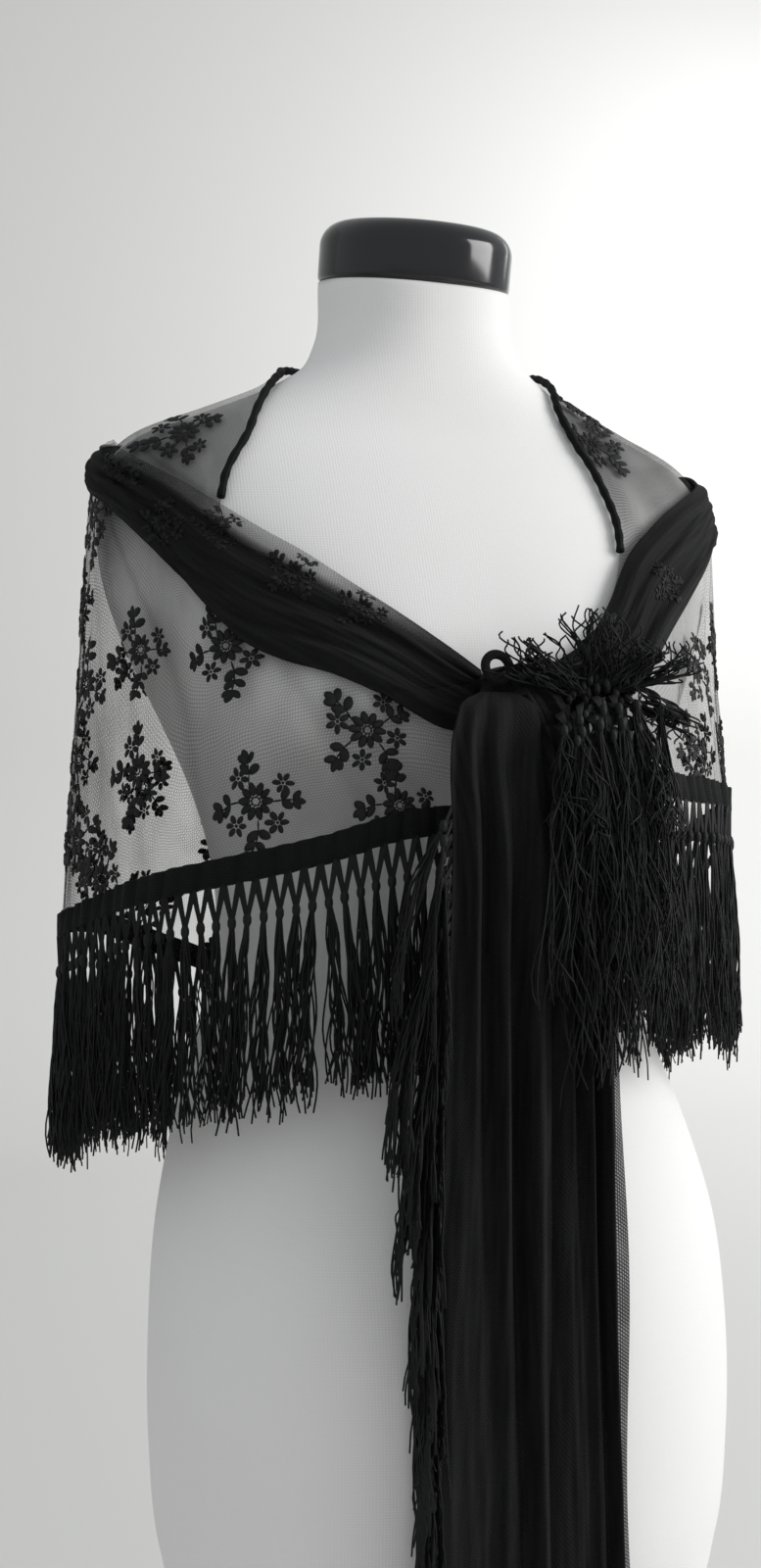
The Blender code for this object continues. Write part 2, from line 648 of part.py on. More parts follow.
def make_knot_fringe(thread, random):
    """The bunch of fringe that hangs from the knot, and the tuft that stands out above it."""
    path = even_steps(BUNCH_ROOTS, BUNCH_PITCH)
    count = len(path) - 1
    outward = np.tile(np.array((0, -1.0, 0)), (count + 1, 1))
    lean = np.array((0, -0.18, -1.0)) + np.linspace(-0.08, 0.10, count)[:, None] * np.array((1.0, 0, 0))
    lengths = BUNCH_LENGTH * random.uniform(0.85, 1.0, count)
    fringe("knot_fringe", path, outward, lengths, lean, BUNCH_PITCH, thread)
    start, end = CROSS["azimuths"]
    azimuth = np.linspace(start - 0.5, end + 0.5, 200)
    over_cross = CROSS["out"] + CROSS["thick"] - SEAM + STRIP_WALL / 2
    path = even_steps(on_cloth(azimuth, TUFT_HEIGHT + 0 * azimuth, over_cross + 0 * azimuth), BUNCH_PITCH)
    outward = path * np.array((1, 1, 0))
    count = len(path) - 1
    lean = np.array((0, -0.35, 0.9)) + np.linspace(-1.2, 1.0, count)[:, None] * np.array((1.0, 0, 0))
    lengths = TUFT_LENGTH * random.uniform(0.85, 1.15, count)
    fringe("knot_tuft", path, outward, lengths, lean, 0.6 * BUNCH_PITCH, thread, strip_down=(0, 0, 1))


def main():
    clear_scene()
    random = np.random.default_rng(11)
    white = material("white_jersey", (0.86, 0.86, 0.86), 0.75)
    black = material("black_gloss", (0.010, 0.010, 0.011), 0.12)
    steel = material("dark_painted_steel", (0.030, 0.030, 0.032), 0.40, 0.2)
    net = material("embroidered_net", (0.012, 0.013, 0.013), 0.80)
    cloth = material("folded_net", (0.010, 0.010, 0.010), 0.80)
    trim = material("woven_trim", (0.008, 0.009, 0.009), 0.70)
    thread = material("fringe_thread", (0.006, 0.007, 0.007), 0.60)
    make_form(white, black, steel)
    hem = make_wrap(net, trim)
    make_fold("collar_fold_left", LEFT_FOLD, LEFT_RIDGES, 19, cloth)
    make_fold("collar_fold_right", RIGHT_FOLD, RIGHT_RIDGES, 17, cloth)
    make_knot(cloth)
    front = make_tail("tail_front", FRONT_TAIL, FRONT_PLEATS, 14, cloth)
    back = make_tail("tail_back", BACK_TAIL, BACK_PLEATS, 12, cloth)
    make_hem_fringe(hem, thread, random)
    make_tail_fringe(front, back, thread, random)
    make_knot_fringe(thread, random)


main()
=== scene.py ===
import bpy
import numpy as np
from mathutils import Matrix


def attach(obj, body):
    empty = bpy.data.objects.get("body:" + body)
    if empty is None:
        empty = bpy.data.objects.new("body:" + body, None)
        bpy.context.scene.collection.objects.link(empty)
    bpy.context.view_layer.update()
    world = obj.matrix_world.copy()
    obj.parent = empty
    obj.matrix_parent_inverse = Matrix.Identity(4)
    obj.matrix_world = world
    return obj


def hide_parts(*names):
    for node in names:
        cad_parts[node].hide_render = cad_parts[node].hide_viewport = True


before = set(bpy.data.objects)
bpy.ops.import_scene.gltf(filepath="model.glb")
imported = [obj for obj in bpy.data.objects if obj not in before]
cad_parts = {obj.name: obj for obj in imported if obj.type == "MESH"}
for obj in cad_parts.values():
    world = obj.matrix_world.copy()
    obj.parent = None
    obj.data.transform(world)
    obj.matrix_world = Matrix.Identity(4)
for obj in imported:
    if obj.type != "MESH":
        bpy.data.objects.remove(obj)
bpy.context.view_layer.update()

lens = bpy.data.cameras.new("camera")
lens.lens = 36.585
lens.sensor_width = 36.0
camera = bpy.data.objects.new("camera", lens)
camera.location = (-0.343, -0.886, 0.715)
camera.rotation_euler = (np.pi / 2, 0, -np.arctan2(0.342, 0.940))
bpy.context.scene.collection.objects.link(camera)
bpy.context.scene.camera = camera
bpy.context.scene.view_settings.view_transform = "Standard"

# Floor, backdrop and light
# One sweep of matt off-white paper runs from the floor up behind the form. A large window to the form's right
# front, seen from the camera, gives soft daylight, and the room gives the rest.


def paint(code):
    """An sRGB hex colour as linear light: value over 12.92 in the dark, and else a power of 2.4."""
    value = np.array([int(code[i : i + 2], 16) for i in (1, 3, 5)]) / 255
    light = np.where(value <= 0.04045, value / 12.92, ((value + 0.055) / 1.055) ** 2.4)
    return (*light.tolist(), 1.0)


def add(tree, kind, inputs=None, **settings):
    """Adds one node. Settings are its own properties, and each input takes a value or another node's output."""
    made = tree.nodes.new("ShaderNode" + kind)
    for name, value in settings.items():
        setattr(made, name, value)
    for name, value in (inputs or {}).items():
        if isinstance(value, bpy.types.NodeSocket):
            tree.links.new(value, made.inputs[name])
        else:
            made.inputs[name].default_value = value
    return made


def new_finish(name, **sockets):
    """A material whose shader's sockets hold the values given. Returns the material, its nodes and its shader."""
    made = bpy.data.materials.new(name)
    made.use_nodes = True
    shader = made.node_tree.nodes["Principled BSDF"]
    for socket, value in sockets.items():
        shader.inputs[socket.replace("_", " ")].default_value = value
    return made, made.node_tree, shader


def raised(tree, shader, height, strength, distance):
    """Bumps for the shader's normal: as high as the distance in metres, times the strength, where height is 1."""
    bump = add(tree, "Bump", {"Height": height, "Strength": strength, "Distance": distance})
    tree.links.new(bump.outputs["Normal"], shader.inputs["Normal"])


def toned(tree, shader, share, low, high, start=0.0, end=1.0):
    """Base colour that goes from one sRGB hex to another while the share goes from start to end."""
    tones = add(tree, "ValToRGB", {"Fac": share})
    for element, code, place in zip(tones.color_ramp.elements, (low, high), (start, end)):
        element.position = place
        element.color = paint(code)
    tree.links.new(tones.outputs["Color"], shader.inputs["Base Color"])


def grid_faces(rows, columns):
    """Corner numbers of the faces of a grid: each point with its neighbours down, down and across, and across."""
    index = np.arange(rows * columns).reshape(rows, columns)
    return np.stack([index[:-1, :-1], index[1:, :-1], index[1:, 1:], index[:-1, 1:]], -1).reshape(-1, 4)


def build(name, points, faces, material, flat_map=None):
    """A smooth mesh object at the origin, from points and four-cornered faces. flat_map has a UV for each point."""
    mesh = bpy.data.meshes.new(name)
    points = np.asarray(points, float).reshape(-1, 3)
    faces = np.asarray(faces)
    mesh.vertices.add(len(points))
    mesh.vertices.foreach_set("co", points.ravel())
    mesh.loops.add(faces.size)
    mesh.loops.foreach_set("vertex_index", faces.ravel())
    mesh.polygons.add(len(faces))
    mesh.polygons.foreach_set("loop_start", np.arange(len(faces)) * 4)
    mesh.update(calc_edges=True)
    if flat_map is not None:
        layer = mesh.uv_layers.new(name="flat")
        layer.uv.foreach_set("vector", np.asarray(flat_map).reshape(-1, 2)[faces.ravel()].ravel())
    mesh.shade_smooth()
    mesh.materials.append(material)
    made = bpy.data.objects.new(name, mesh)
    bpy.context.scene.collection.objects.link(made)
    return made


paper, tree, shader = new_finish("matt_paper", Base_Color=paint("#d6d6d3"), Roughness=0.95)
grain = add(tree, "TexNoise", {"Vector": add(tree, "TexCoord").outputs["Object"], "Scale": 90.0, "Detail": 3.0})
raised(tree, shader, grain.outputs["Fac"], 0.04, 0.002)

turn = np.linspace(0, np.pi / 2, 24)
sweep_y = np.concatenate([[-3.5, 2.1], 2.1 + 0.8 * np.sin(turn), [2.9]])
sweep_z = np.concatenate([[0, 0], 0.8 - 0.8 * np.cos(turn), [4.2]])
across = np.linspace(-4, 4, 9)
sweep = np.stack([0 * sweep_y[:, None] + across, sweep_y[:, None] + 0 * across, sweep_z[:, None] + 0 * across], -1)
backdrop = build("backdrop", sweep, grid_faces(*sweep.shape[:2])[:, ::-1], paper)


def window(name, place, aim, size, power, code):
    """A square soft light at a place, turned to face its aim."""
    light = bpy.data.lights.new(name, "AREA")
    light.size = size
    light.energy = power
    light.color = paint(code)[:3]
    made = bpy.data.objects.new(name, light)
    made.location = place
    heading = np.array(aim) - np.array(place)
    flat = np.hypot(heading[0], heading[1])
    made.rotation_euler = (np.arctan2(flat, -heading[2]), 0, np.arctan2(-heading[0], heading[1]))
    bpy.context.scene.collection.objects.link(made)


window("window", (1.9, -1.0, 1.5), (0, 0, 0.75), 1.3, 40, "#ffffff")
window("wall_light", (2.5, 1.4, 2.1), (1.9, 2.9, 1.2), 1.4, 40, "#ffffff")
room = bpy.data.worlds.new("room")
room.use_nodes = True
room.node_tree.nodes["Background"].inputs["Color"].default_value = paint("#f1f3f7")
room.node_tree.nodes["Background"].inputs["Strength"].default_value = 0.60
bpy.context.scene.world = room

# Dress form
# A stuffed torso covered in one stretched layer of white cotton jersey: shoulders, bust, waist and hips, with
# no arms, closed flat at the neck.

# height, half width, front depth, back depth and forward shift
FORM_SECTIONS = np.array((
    (0.2350, 0.110, 0.074, 0.086, 0.045),
    (0.2430, 0.131, 0.092, 0.104, 0.045),
    (0.2600, 0.147, 0.106, 0.118, 0.045),
    (0.2950, 0.159, 0.115, 0.127, 0.045),
    (0.3500, 0.165, 0.119, 0.130, 0.045),
    (0.4200, 0.165, 0.118, 0.130, 0.044),
    (0.4700, 0.161, 0.113, 0.125, 0.040),
    (0.5200, 0.150, 0.106, 0.114, 0.030),
    (0.5700, 0.134, 0.099, 0.098, 0.018),
    (0.6200, 0.120, 0.095, 0.087, 0.008),
    (0.6700, 0.121, 0.099, 0.086, 0.002),
    (0.7100, 0.132, 0.110, 0.090, 0.000),
    (0.7500, 0.150, 0.124, 0.095, 0.000),
    (0.7900, 0.170, 0.120, 0.098, 0.000),
    (0.8350, 0.185, 0.104, 0.099, 0.000),
    (0.8700, 0.187, 0.088, 0.095, 0.000),
    (0.8940, 0.182, 0.075, 0.085, 0.000),
    (0.9095, 0.165, 0.066, 0.075, 0.000),
    (0.9230, 0.133, 0.062, 0.068, 0.000),
    (0.9380, 0.099, 0.059, 0.063, 0.000),
    (0.9560, 0.070, 0.056, 0.058, 0.000),
    (0.9750, 0.0585, 0.0545, 0.0555, 0.000),
    (1.0095, 0.0555, 0.0545, 0.0545, 0.000),
))
FORM_SQUARENESS = 2.3
BUST_AZIMUTH = 37
BUST_SPREAD = 21
BUST_HEIGHT = 0.750
BUST_TALL = 0.040
BUST_RISE = 0.016
NECK_TOP = 1.0095
NECK_TILT = 0.2272
TILT_START = 0.962


def through(where, at, values):
    """A smooth curve through values at rising places: on each stretch a cubic that keeps the slopes at its ends."""
    slopes = np.gradient(values, at)
    low = np.clip(np.searchsorted(at, where) - 1, 0, len(at) - 2)
    step = at[low + 1] - at[low]
    t = np.clip((where - at[low]) / step, 0, 1)
    rise = values[low + 1] - values[low]
    start, end = slopes[low] * step, slopes[low + 1] * step
    return values[low] + t * start + t**2 * (3 * rise - 2 * start - end) + t**3 * (start + end - 2 * rise)


def oval_radius(azimuth, half_width, front, back, squareness):
    """Distance from the axis to a squared oval: sine over width and cosine over depth, to a power, add up to 1."""
    wide = np.abs(np.sin(azimuth)) / half_width
    deep = np.abs(np.cos(azimuth)) / np.where(np.cos(azimuth) > 0, front, back)
    return (wide**squareness + deep**squareness) ** (-1 / squareness)


def form_radius(azimuth, height):
    """The squared oval of the form's table at a height, let out by a bell-shaped rise for each side of the bust."""
    at = FORM_SECTIONS[:, 0]
    sizes = [through(height, at, FORM_SECTIONS[:, column]) for column in (1, 2, 3)]
    turned = np.degrees(np.arctan2(np.sin(azimuth), np.cos(azimuth)))
    aside = (np.abs(turned) - BUST_AZIMUTH) / BUST_SPREAD
    bust = np.exp(-(aside**2) - ((height - BUST_HEIGHT) / BUST_TALL) ** 2)
    return oval_radius(azimuth, *sizes, FORM_SQUARENESS) + BUST_RISE * bust


def at_azimuth(azimuth, radius, height):
    """The point at that angle from the front, growing towards the camera's left, at that distance and height."""
    return np.stack([-radius * np.sin(azimuth), -radius * np.cos(azimuth), height + 0 * radius], -1)


def tube_faces(count, rings, sides):
    """Faces of many like tubes: four-cornered walls between rings, and a fan of four-cornered faces on each end."""
    ring = np.arange(rings * sides).reshape(rings, sides)
    after = np.roll(ring, -1, axis=1)
    walls = np.stack([ring[:-1], after[:-1], after[1:], ring[1:]], -1).reshape(-1, 4)
    fan = np.array([(0, k, k + 1, k + 2) for k in range(1, sides - 2, 2)])
    one = np.concatenate([walls, ring[0][fan[:, ::-1]], ring[-1][fan]])
    return (one[None] + rings * sides * np.arange(count)[:, None, None]).reshape(-1, 4)


jersey, tree, shader = new_finish("cotton_jersey", Roughness=0.85, Sheen_Weight=0.25, Sheen_Roughness=0.5)
place = add(tree, "TexCoord").outputs["Object"]
# Real stitches are 0.8 mm apart: drawn 1.6 mm apart, so that they show. A wave repeats every 0.314 over its scale.
wales = add(tree, "TexWave", {"Vector": place, "Scale": 196.0, "Distortion": 1.2, "Detail": 2.0}, bands_direction="X")
courses = add(tree, "TexWave", {"Vector": place, "Scale": 230.0, "Distortion": 1.0}, bands_direction="Z")
knit = add(tree, "Math", {0: wales.outputs["Fac"], 1: courses.outputs["Fac"]}, operation="ADD")
raised(tree, shader, knit.outputs["Value"], 0.12, 0.0004)
soil = add(tree, "TexNoise", {"Vector": place, "Scale": 9.0, "Detail": 4.0})
toned(tree, shader, soil.outputs["Fac"], "#e8e7e4", "#f1f0ee")

at = FORM_SECTIONS[:, 0]
stretches = ((at[0], 0.262, 12), (0.267, 0.950, 150), (0.953, at[-1], 16))
heights = np.concatenate([np.linspace(low, high, count) for low, high, count in stretches])
turn = np.linspace(2 * np.pi, 0, 180, endpoint=False)
form_azimuth, form_height = np.meshgrid(turn, heights)
loops = at_azimuth(form_azimuth, form_radius(form_azimuth, form_height), form_height)
loops[..., 1] -= through(form_height, at, FORM_SECTIONS[:, 4])
lean = np.clip((form_height - TILT_START) / (NECK_TOP - TILT_START), 0, 1)
loops[..., 2] += NECK_TILT * lean * loops[..., 1]
torso = build("torso", loops, tube_faces(1, *loops.shape[:2]), jersey)
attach(torso, "root")
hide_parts("dress_form")

# Neck cap and stand
# A turned lid of polished black plastic closes the neck. Below, a socket, a pole and a round base of painted
# steel carry the form.
CAP_RADIUS = 0.0572
CAP_HEIGHT = 0.034
CAP_EDGE = 0.014


def turned(name, profile, material, middle=(0, 0, 0), tilt=0.0, sides=96):
    """A round piece: each (radius, height) of its profile is a ring, leaned forward by the tilt."""
    around = np.linspace(0, 2 * np.pi, sides, endpoint=False)
    radius, height = np.array(profile, float).T[..., None]
    x, y, z = radius * np.cos(around), radius * np.sin(around), height + 0 * around
    leaned = np.stack([x, y * np.cos(tilt) - z * np.sin(tilt), y * np.sin(tilt) + z * np.cos(tilt)], -1)
    made = build(name, leaned + np.array(middle), tube_faces(1, len(profile), sides), material)
    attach(made, "root")
    return made


def rounded(radius, low, high, edge):
    """Profile of a disc with quarter-round edges at its foot and top."""
    bend = np.linspace(0, np.pi / 2, 7)
    foot = [(radius - edge + edge * np.sin(a), low + edge - edge * np.cos(a)) for a in bend]
    top = [(radius - edge + edge * np.cos(a), high - edge + edge * np.sin(a)) for a in bend]
    return [*foot, *top]


gloss, tree, shader = new_finish("polished_abs", Base_Color=paint("#141416"), IOR=1.53)
place = add(tree, "TexCoord").outputs["Object"]
haze = add(tree, "TexNoise", {"Vector": place, "Scale": 60.0, "Detail": 5.0})
rubbed = add(tree, "MapRange", {"Value": haze.outputs["Fac"], "To Min": 0.08, "To Max": 0.22})
tree.links.new(rubbed.outputs["Result"], shader.inputs["Roughness"])
bend = np.linspace(0, np.pi / 2, 16)
cap_profile = [(CAP_RADIUS - 0.002, 0), (CAP_RADIUS - 0.0004, 0.0008), (CAP_RADIUS, 0.003)]
cap_profile += [(CAP_RADIUS - CAP_EDGE * (1 - np.cos(a)), CAP_HEIGHT - CAP_EDGE * (1 - np.sin(a))) for a in bend]
flat_top = CAP_RADIUS - CAP_EDGE
cap_profile += [(share * flat_top, CAP_HEIGHT + 0.0004 * (1 - share)) for share in (0.8, 0.5, 0.2, 0.03)]
lid = turned("neck_lid", cap_profile, gloss, (0, 0, NECK_TOP + 0.0006), np.arctan(NECK_TILT))
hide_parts("neck_cap")

steel, tree, shader = new_finish("painted_steel", Base_Color=paint("#2b2c2e"), Coat_Weight=0.2)
place = add(tree, "TexCoord").outputs["Object"]
orange_peel = add(tree, "TexNoise", {"Vector": place, "Scale": 420.0, "Detail": 2.0})
raised(tree, shader, orange_peel.outputs["Fac"], 0.08, 0.0005)
wear = add(tree, "TexNoise", {"Vector": place, "Scale": 24.0, "Detail": 6.0})
worn = add(tree, "MapRange", {"Value": wear.outputs["Fac"], "To Min": 0.34, "To Max": 0.55})
tree.links.new(worn.outputs["Result"], shader.inputs["Roughness"])
base = turned("foot_plate", rounded(0.150, 0, 0.016, 0.005), steel)
pole = turned("pole", rounded(0.014, 0.0163, 0.2104, 0.0012), steel, sides=48)
socket_profile = [(0.0185, 0.2107), (0.019, 0.2112), (0.021, 0.2257), (0.023, 0.2270), (0.0345, 0.2282)]
socket_profile += [(0.036, 0.2294), (0.036, 0.2342), (0.0355, 0.2347)]
socket = turned("socket", socket_profile, steel, sides=64)
for piece, node in ((base, "stand_base"), (pole, "stand_pole"), (socket, "stand_socket")):
    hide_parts(node)

# Net
# A shallow triangle of soft black nylon net goes round the shoulders. It lies on the form down to the upper
# arm, hangs free from there in soft folds, and its two long ends are drawn together at the front.

# azimuth and height at the top edge, then at the lower edge, of each station round the shawl
WRAP_STATIONS = np.array((
    (11, 0.762, 12, 0.690),
    (22, 0.789, 24, 0.686),
    (36, 0.809, 36, 0.675),
    (50, 0.831, 50, 0.665),
    (60, 0.846, 61, 0.657),
    (63, 0.874, 72, 0.648),
    (64, 0.905, 84, 0.637),
    (71, 0.934, 94, 0.628),
    (86, 0.950, 106, 0.628),
    (112, 0.960, 124, 0.616),
    (147, 0.966, 150, 0.584),
    (180, 0.968, 180, 0.562),
    (213, 0.966, 210, 0.584),
    (246, 0.963, 236, 0.620),
    (272, 0.960, 256, 0.652),
    (292, 0.953, 270, 0.676),
    (307, 0.935, 281, 0.689),
    (310, 0.910, 291, 0.697),
    (312.5, 0.884, 299, 0.701),
    (315, 0.858, 307, 0.703),
    (321, 0.830, 317, 0.705),
    (333, 0.796, 328, 0.709),
    (345, 0.768, 345, 0.715),
))
# azimuth, and the height at which the cloth leaves the form there
LEAVES_FORM = np.array((
    (-30, 0.772),
    (0, 0.765),
    (40, 0.765),
    (60, 0.800),
    (80, 0.872),
    (98, 0.880),
    (125, 0.866),
    (180, 0.852),
    (235, 0.866),
    (262, 0.880),
    (280, 0.872),
    (300, 0.805),
    (320, 0.772),
    (360, 0.765),
    (390, 0.765),
))
# azimuth, half width in degrees and rise of each soft fold of the hanging cloth, at the hem
HANG_FOLDS = np.array((
    (34, 10, 0.0020),
    (58, 9, 0.0030),
    (76, 8, -0.0030),
    (93, 9, 0.0030),
    (111, 9, -0.0040),
    (129, 9, 0.0070),
    (148, 10, -0.0050),
    (168, 10, 0.0065),
    (189, 10, -0.0045),
    (210, 10, 0.0070),
    (231, 10, -0.0050),
    (251, 9, 0.0045),
    (268, 9, -0.0030),
    (290, 10, 0.0015),
    (318, 11, -0.0020),
))
HEM_LEFT, HEM_RIGHT, HEM_FRONT, HEM_BACK, HEM_SQUARENESS = 0.203, 0.188, 0.150, 0.138, 2.15
CLEARANCE = 0.0021
REST_ROUNDING = 0.003
NET_WALL = 0.0012


def rest_radius(azimuth, height):
    """The form's radius plus the cloth's clearance, which grows with the slope as one over its cosine."""
    step = 0.001
    radius = form_radius(azimuth, height)
    slope = (form_radius(azimuth, height + step) - form_radius(azimuth, height - step)) / (2 * step)
    return radius + CLEARANCE * np.sqrt(1 + slope**2)


def cloth_radius(azimuth, height):
    """The farther out of two lines, eased where they meet: resting on the form, or hanging free of it."""
    degrees = np.degrees(azimuth) % 360
    leaves = through(degrees, LEAVES_FORM[:, 0], LEAVES_FORM[:, 1])
    hem = through(degrees, WRAP_STATIONS[:, 2], WRAP_STATIONS[:, 3])
    drop = (leaves - height) / (leaves - hem)
    start = rest_radius(azimuth, leaves)
    half_width = np.where(np.sin(azimuth) > 0, HEM_LEFT, HEM_RIGHT)
    end = oval_radius(azimuth, half_width, HEM_FRONT, HEM_BACK, HEM_SQUARENESS)
    folds = np.zeros_like(degrees)
    for middle, half_width, rise in HANG_FOLDS:
        folds = folds + rise * np.exp(-(((degrees - middle) / half_width) ** 2))
    hanging = start + (end - start) * np.clip(drop, 0, 1.3) ** 0.85 + np.clip(drop, -0.2, 1.3) * folds
    hanging = hanging - 1.5 * np.clip(height - leaves, 0, None)
    resting = rest_radius(azimuth, height)
    apart = hanging - resting
    return resting + 0.5 * (apart + np.sqrt(apart**2 + REST_ROUNDING**2))


def on_cloth(azimuth, height, out=0.0):
    """A point of the net, moved out square to it: the direction is the cross product of its two slopes."""
    turn = np.radians(np.asarray(azimuth, float))
    height = np.asarray(height, float)
    step = 0.002

    def place(angle, level):
        return at_azimuth(angle, cloth_radius(angle, level), level)

    round_it = place(turn - step, height) - place(turn + step, height)
    up_it = place(turn, height + step) - place(turn, height - step)
    normal = np.cross(round_it, up_it)
    normal /= np.linalg.norm(normal, axis=-1, keepdims=True)
    return place(turn, height) + np.asarray(out, float)[..., None] * normal


def facing(grid):
    """Unit directions square to a grid of rows that run down and columns that run round the form, facing out."""
    normal = np.cross(np.gradient(grid, axis=1), np.gradient(grid, axis=0))
    return normal / np.maximum(np.linalg.norm(normal, axis=-1, keepdims=True), 1e-12)


def running(line):
    """Running length down the rows of a line or a grid of points: the sum of the distances between neighbours."""
    return np.cumsum(np.linalg.norm(np.diff(line, axis=0, prepend=line[:1]), axis=-1), axis=0)


def flat_lengths(grid):
    """A flat map in metres: running length along each row from its middle, and down each column from its top."""
    sideways = np.cumsum(np.linalg.norm(np.diff(grid, axis=1, prepend=grid[:, :1]), axis=-1), axis=1)
    sideways = sideways - sideways[:, [grid.shape[1] // 2]]
    return np.stack([sideways, running(grid)], -1)


def drape(rows, columns):
    """The net as columns that run from the top edge down to the hem, with even steps along every column."""
    station = np.arange(len(WRAP_STATIONS))
    along = np.linspace(0, len(WRAP_STATIONS) - 1, columns)
    columns_of = [through(along, station, WRAP_STATIONS[:, k]) for k in range(4)]
    top_azimuth, top_height, hem_azimuth, hem_height = columns_of

    def place(down):
        azimuth = top_azimuth + (hem_azimuth - top_azimuth) * down
        height = top_height + (hem_height - top_height) * down
        return azimuth, height

    dense = np.repeat(np.linspace(0, 1, 240)[:, None], columns, 1)
    lengths = np.cumsum(np.linalg.norm(np.diff(on_cloth(*place(dense)), axis=0, prepend=0), axis=-1)[1:], axis=0)
    share = np.concatenate([np.zeros((1, columns)), lengths / lengths[-1]])
    even = [np.interp(np.linspace(0, 1, rows), share[:, k], dense[:, k]) for k in range(columns)]
    return place(np.stack(even, 1))


NET_ROWS, NET_COLUMNS = 190, 460
net_azimuth, net_height = drape(NET_ROWS, NET_COLUMNS)
free = np.clip((through(net_azimuth, LEAVES_FORM[:, 0], LEAVES_FORM[:, 1]) - net_height) / 0.05, 0, 1)
ripple = 0.0007 * np.sin(net_azimuth * 0.9 + 26 * net_height) * np.sin(70 * net_height + 0.31 * net_azimuth)
ripple = ripple + 0.0006 * np.sin(2.1 * net_azimuth - 9 * net_height)
net_inside = on_cloth(net_azimuth, net_height, free * ripple)
net_out = facing(net_inside)
net_grid = net_inside + 0.5 * NET_WALL * net_out
net_map = flat_lengths(net_grid)

# Fine warp-knitted net of nylon, 0.9 mm from wale to wale: drawn 1.5 mm apart, so that it shows. Wales and one
# slanting set of threads cross, and between them the net lets more than half the light through.


def net_threads(tree, cell):
    """How much thread there is at a place: the greater of an upright and a slanting wave on the flat map."""
    flat = add(tree, "UVMap", uv_map="flat").outputs["UV"]
    sets = []
    for turn in (0.0, 0.95):
        slanted = add(tree, "Mapping", {"Vector": flat, "Rotation": (0, 0, turn)})
        wave = add(
            tree,
            "TexWave",
            {"Vector": slanted.outputs["Vector"], "Scale": 0.314 / cell, "Distortion": 0.6, "Detail": 1.0},
            bands_direction="X",
        )
        sets.append(wave.outputs["Fac"])
    both = add(tree, "Math", {0: sets[0], 1: sets[1]}, operation="MAXIMUM")
    return flat, both.outputs["Value"]


def point_values(piece, name, values):
    """Gives each point of a piece a value, which its material reads by that name."""
    piece.data.attributes.new(name, "FLOAT", "POINT").data.foreach_set("value", np.ravel(values))


net, tree, shader = new_finish(
    "nylon_net", Base_Color=paint("#0b0b0c"), Roughness=0.8, Specular_IOR_Level=0.25
)
flat, threads_here = net_threads(tree, 0.0015)
drift = add(tree, "TexNoise", {"Vector": flat, "Scale": 38.0, "Detail": 4.0, "Distortion": 0.4})
layered = add(tree, "Attribute", attribute_name="layers")
thread_share = add(
    tree, "MapRange", {"Value": threads_here, "From Min": 0.30, "From Max": 1.0, "To Min": 0.02, "To Max": 0.39}
)
cloudy = add(tree, "MapRange", {"Value": drift.outputs["Fac"], "To Min": -0.12, "To Max": 0.12})
share = add(tree, "Math", {0: thread_share.outputs["Result"], 1: cloudy.outputs["Result"]}, operation="ADD")
share = add(tree, "Math", {0: share.outputs["Value"], 1: layered.outputs["Fac"]}, operation="ADD", use_clamp=True)
tree.links.new(share.outputs["Value"], shader.inputs["Alpha"])

net_cloth = build("net_cloth", net_grid, grid_faces(NET_ROWS, NET_COLUMNS), net, net_map)
# azimuth and half width in degrees, height and half height in metres, and added share of thread, of each place
# where the net lies double
DOUBLE_NET = (
    (92, 22, 0.72, 0.10, 0.22),
    (78, 20, 0.88, 0.05, 0.34),
    (318, 22, 0.80, np.inf, 0.10),
    (298, 24, 0.92, 0.06, 0.34),
)
# heading and added share of thread of each crease that spreads from the left shoulder's corner
CREASE_LINES = (
    (-1.05, 0.12), (-0.80, 0.10), (-0.52, 0.14), (-0.36, 0.10),
    (-0.22, 0.08), (-0.06, 0.14), (0.07, 0.12), (0.3, 0.08),
)
CREASE_WIDTH = 0.018
corner_side, corner_down = (net_azimuth - 92) * 0.0035, 0.925 - net_height
layers = 0.05 * np.sin(0.42 * net_azimuth + 21 * net_height) * np.sin(0.13 * net_azimuth - 33 * net_height)
for azimuth, wide, height, tall, share in DOUBLE_NET:
    layers = layers + share * np.exp(-(((net_azimuth - azimuth) / wide) ** 2) - ((net_height - height) / tall) ** 2)
for heading, share in CREASE_LINES:
    aside = np.arctan2(corner_side, corner_down) - heading - 0.03 * np.sin(30 * net_height)
    away = np.clip(np.hypot(corner_side, corner_down) / 0.06, 0, 1)
    layers = layers + share * away * np.exp(-((aside / CREASE_WIDTH) ** 2))
point_values(net_cloth, "layers", layers)
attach(net_cloth, "root")
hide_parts("shawl_wrap")

# Embroidered sprays
# Rayon thread in satin stitch on the net: an eyelet ring in a ring of petals, small daisies, leaves on stems.
# The sprays stand in a half-drop repeat. Each petal and leaf is a low rounded pad of stitches.


def wreath(x, y, radius, count, first, turn, length, width):
    """Pads in a ring round a place. Each starts on the ring and heads outwards, turned by the angle given."""
    headings = first + 360.0 / count * np.arange(count)
    places = [(x + radius * np.sin(np.radians(a)), y - radius * np.cos(np.radians(a)), a + turn) for a in headings]
    return [(*place, length, width) for place in places]


def daisy(x, y, size):
    """Six petals round a place, each as long as the size, with a small round pad in their middle."""
    return [*wreath(x, y, 1.1, 6, 15, 0, size, 0.62 * size), (x, y + 0.8, 0, 1.7, 1.7)]


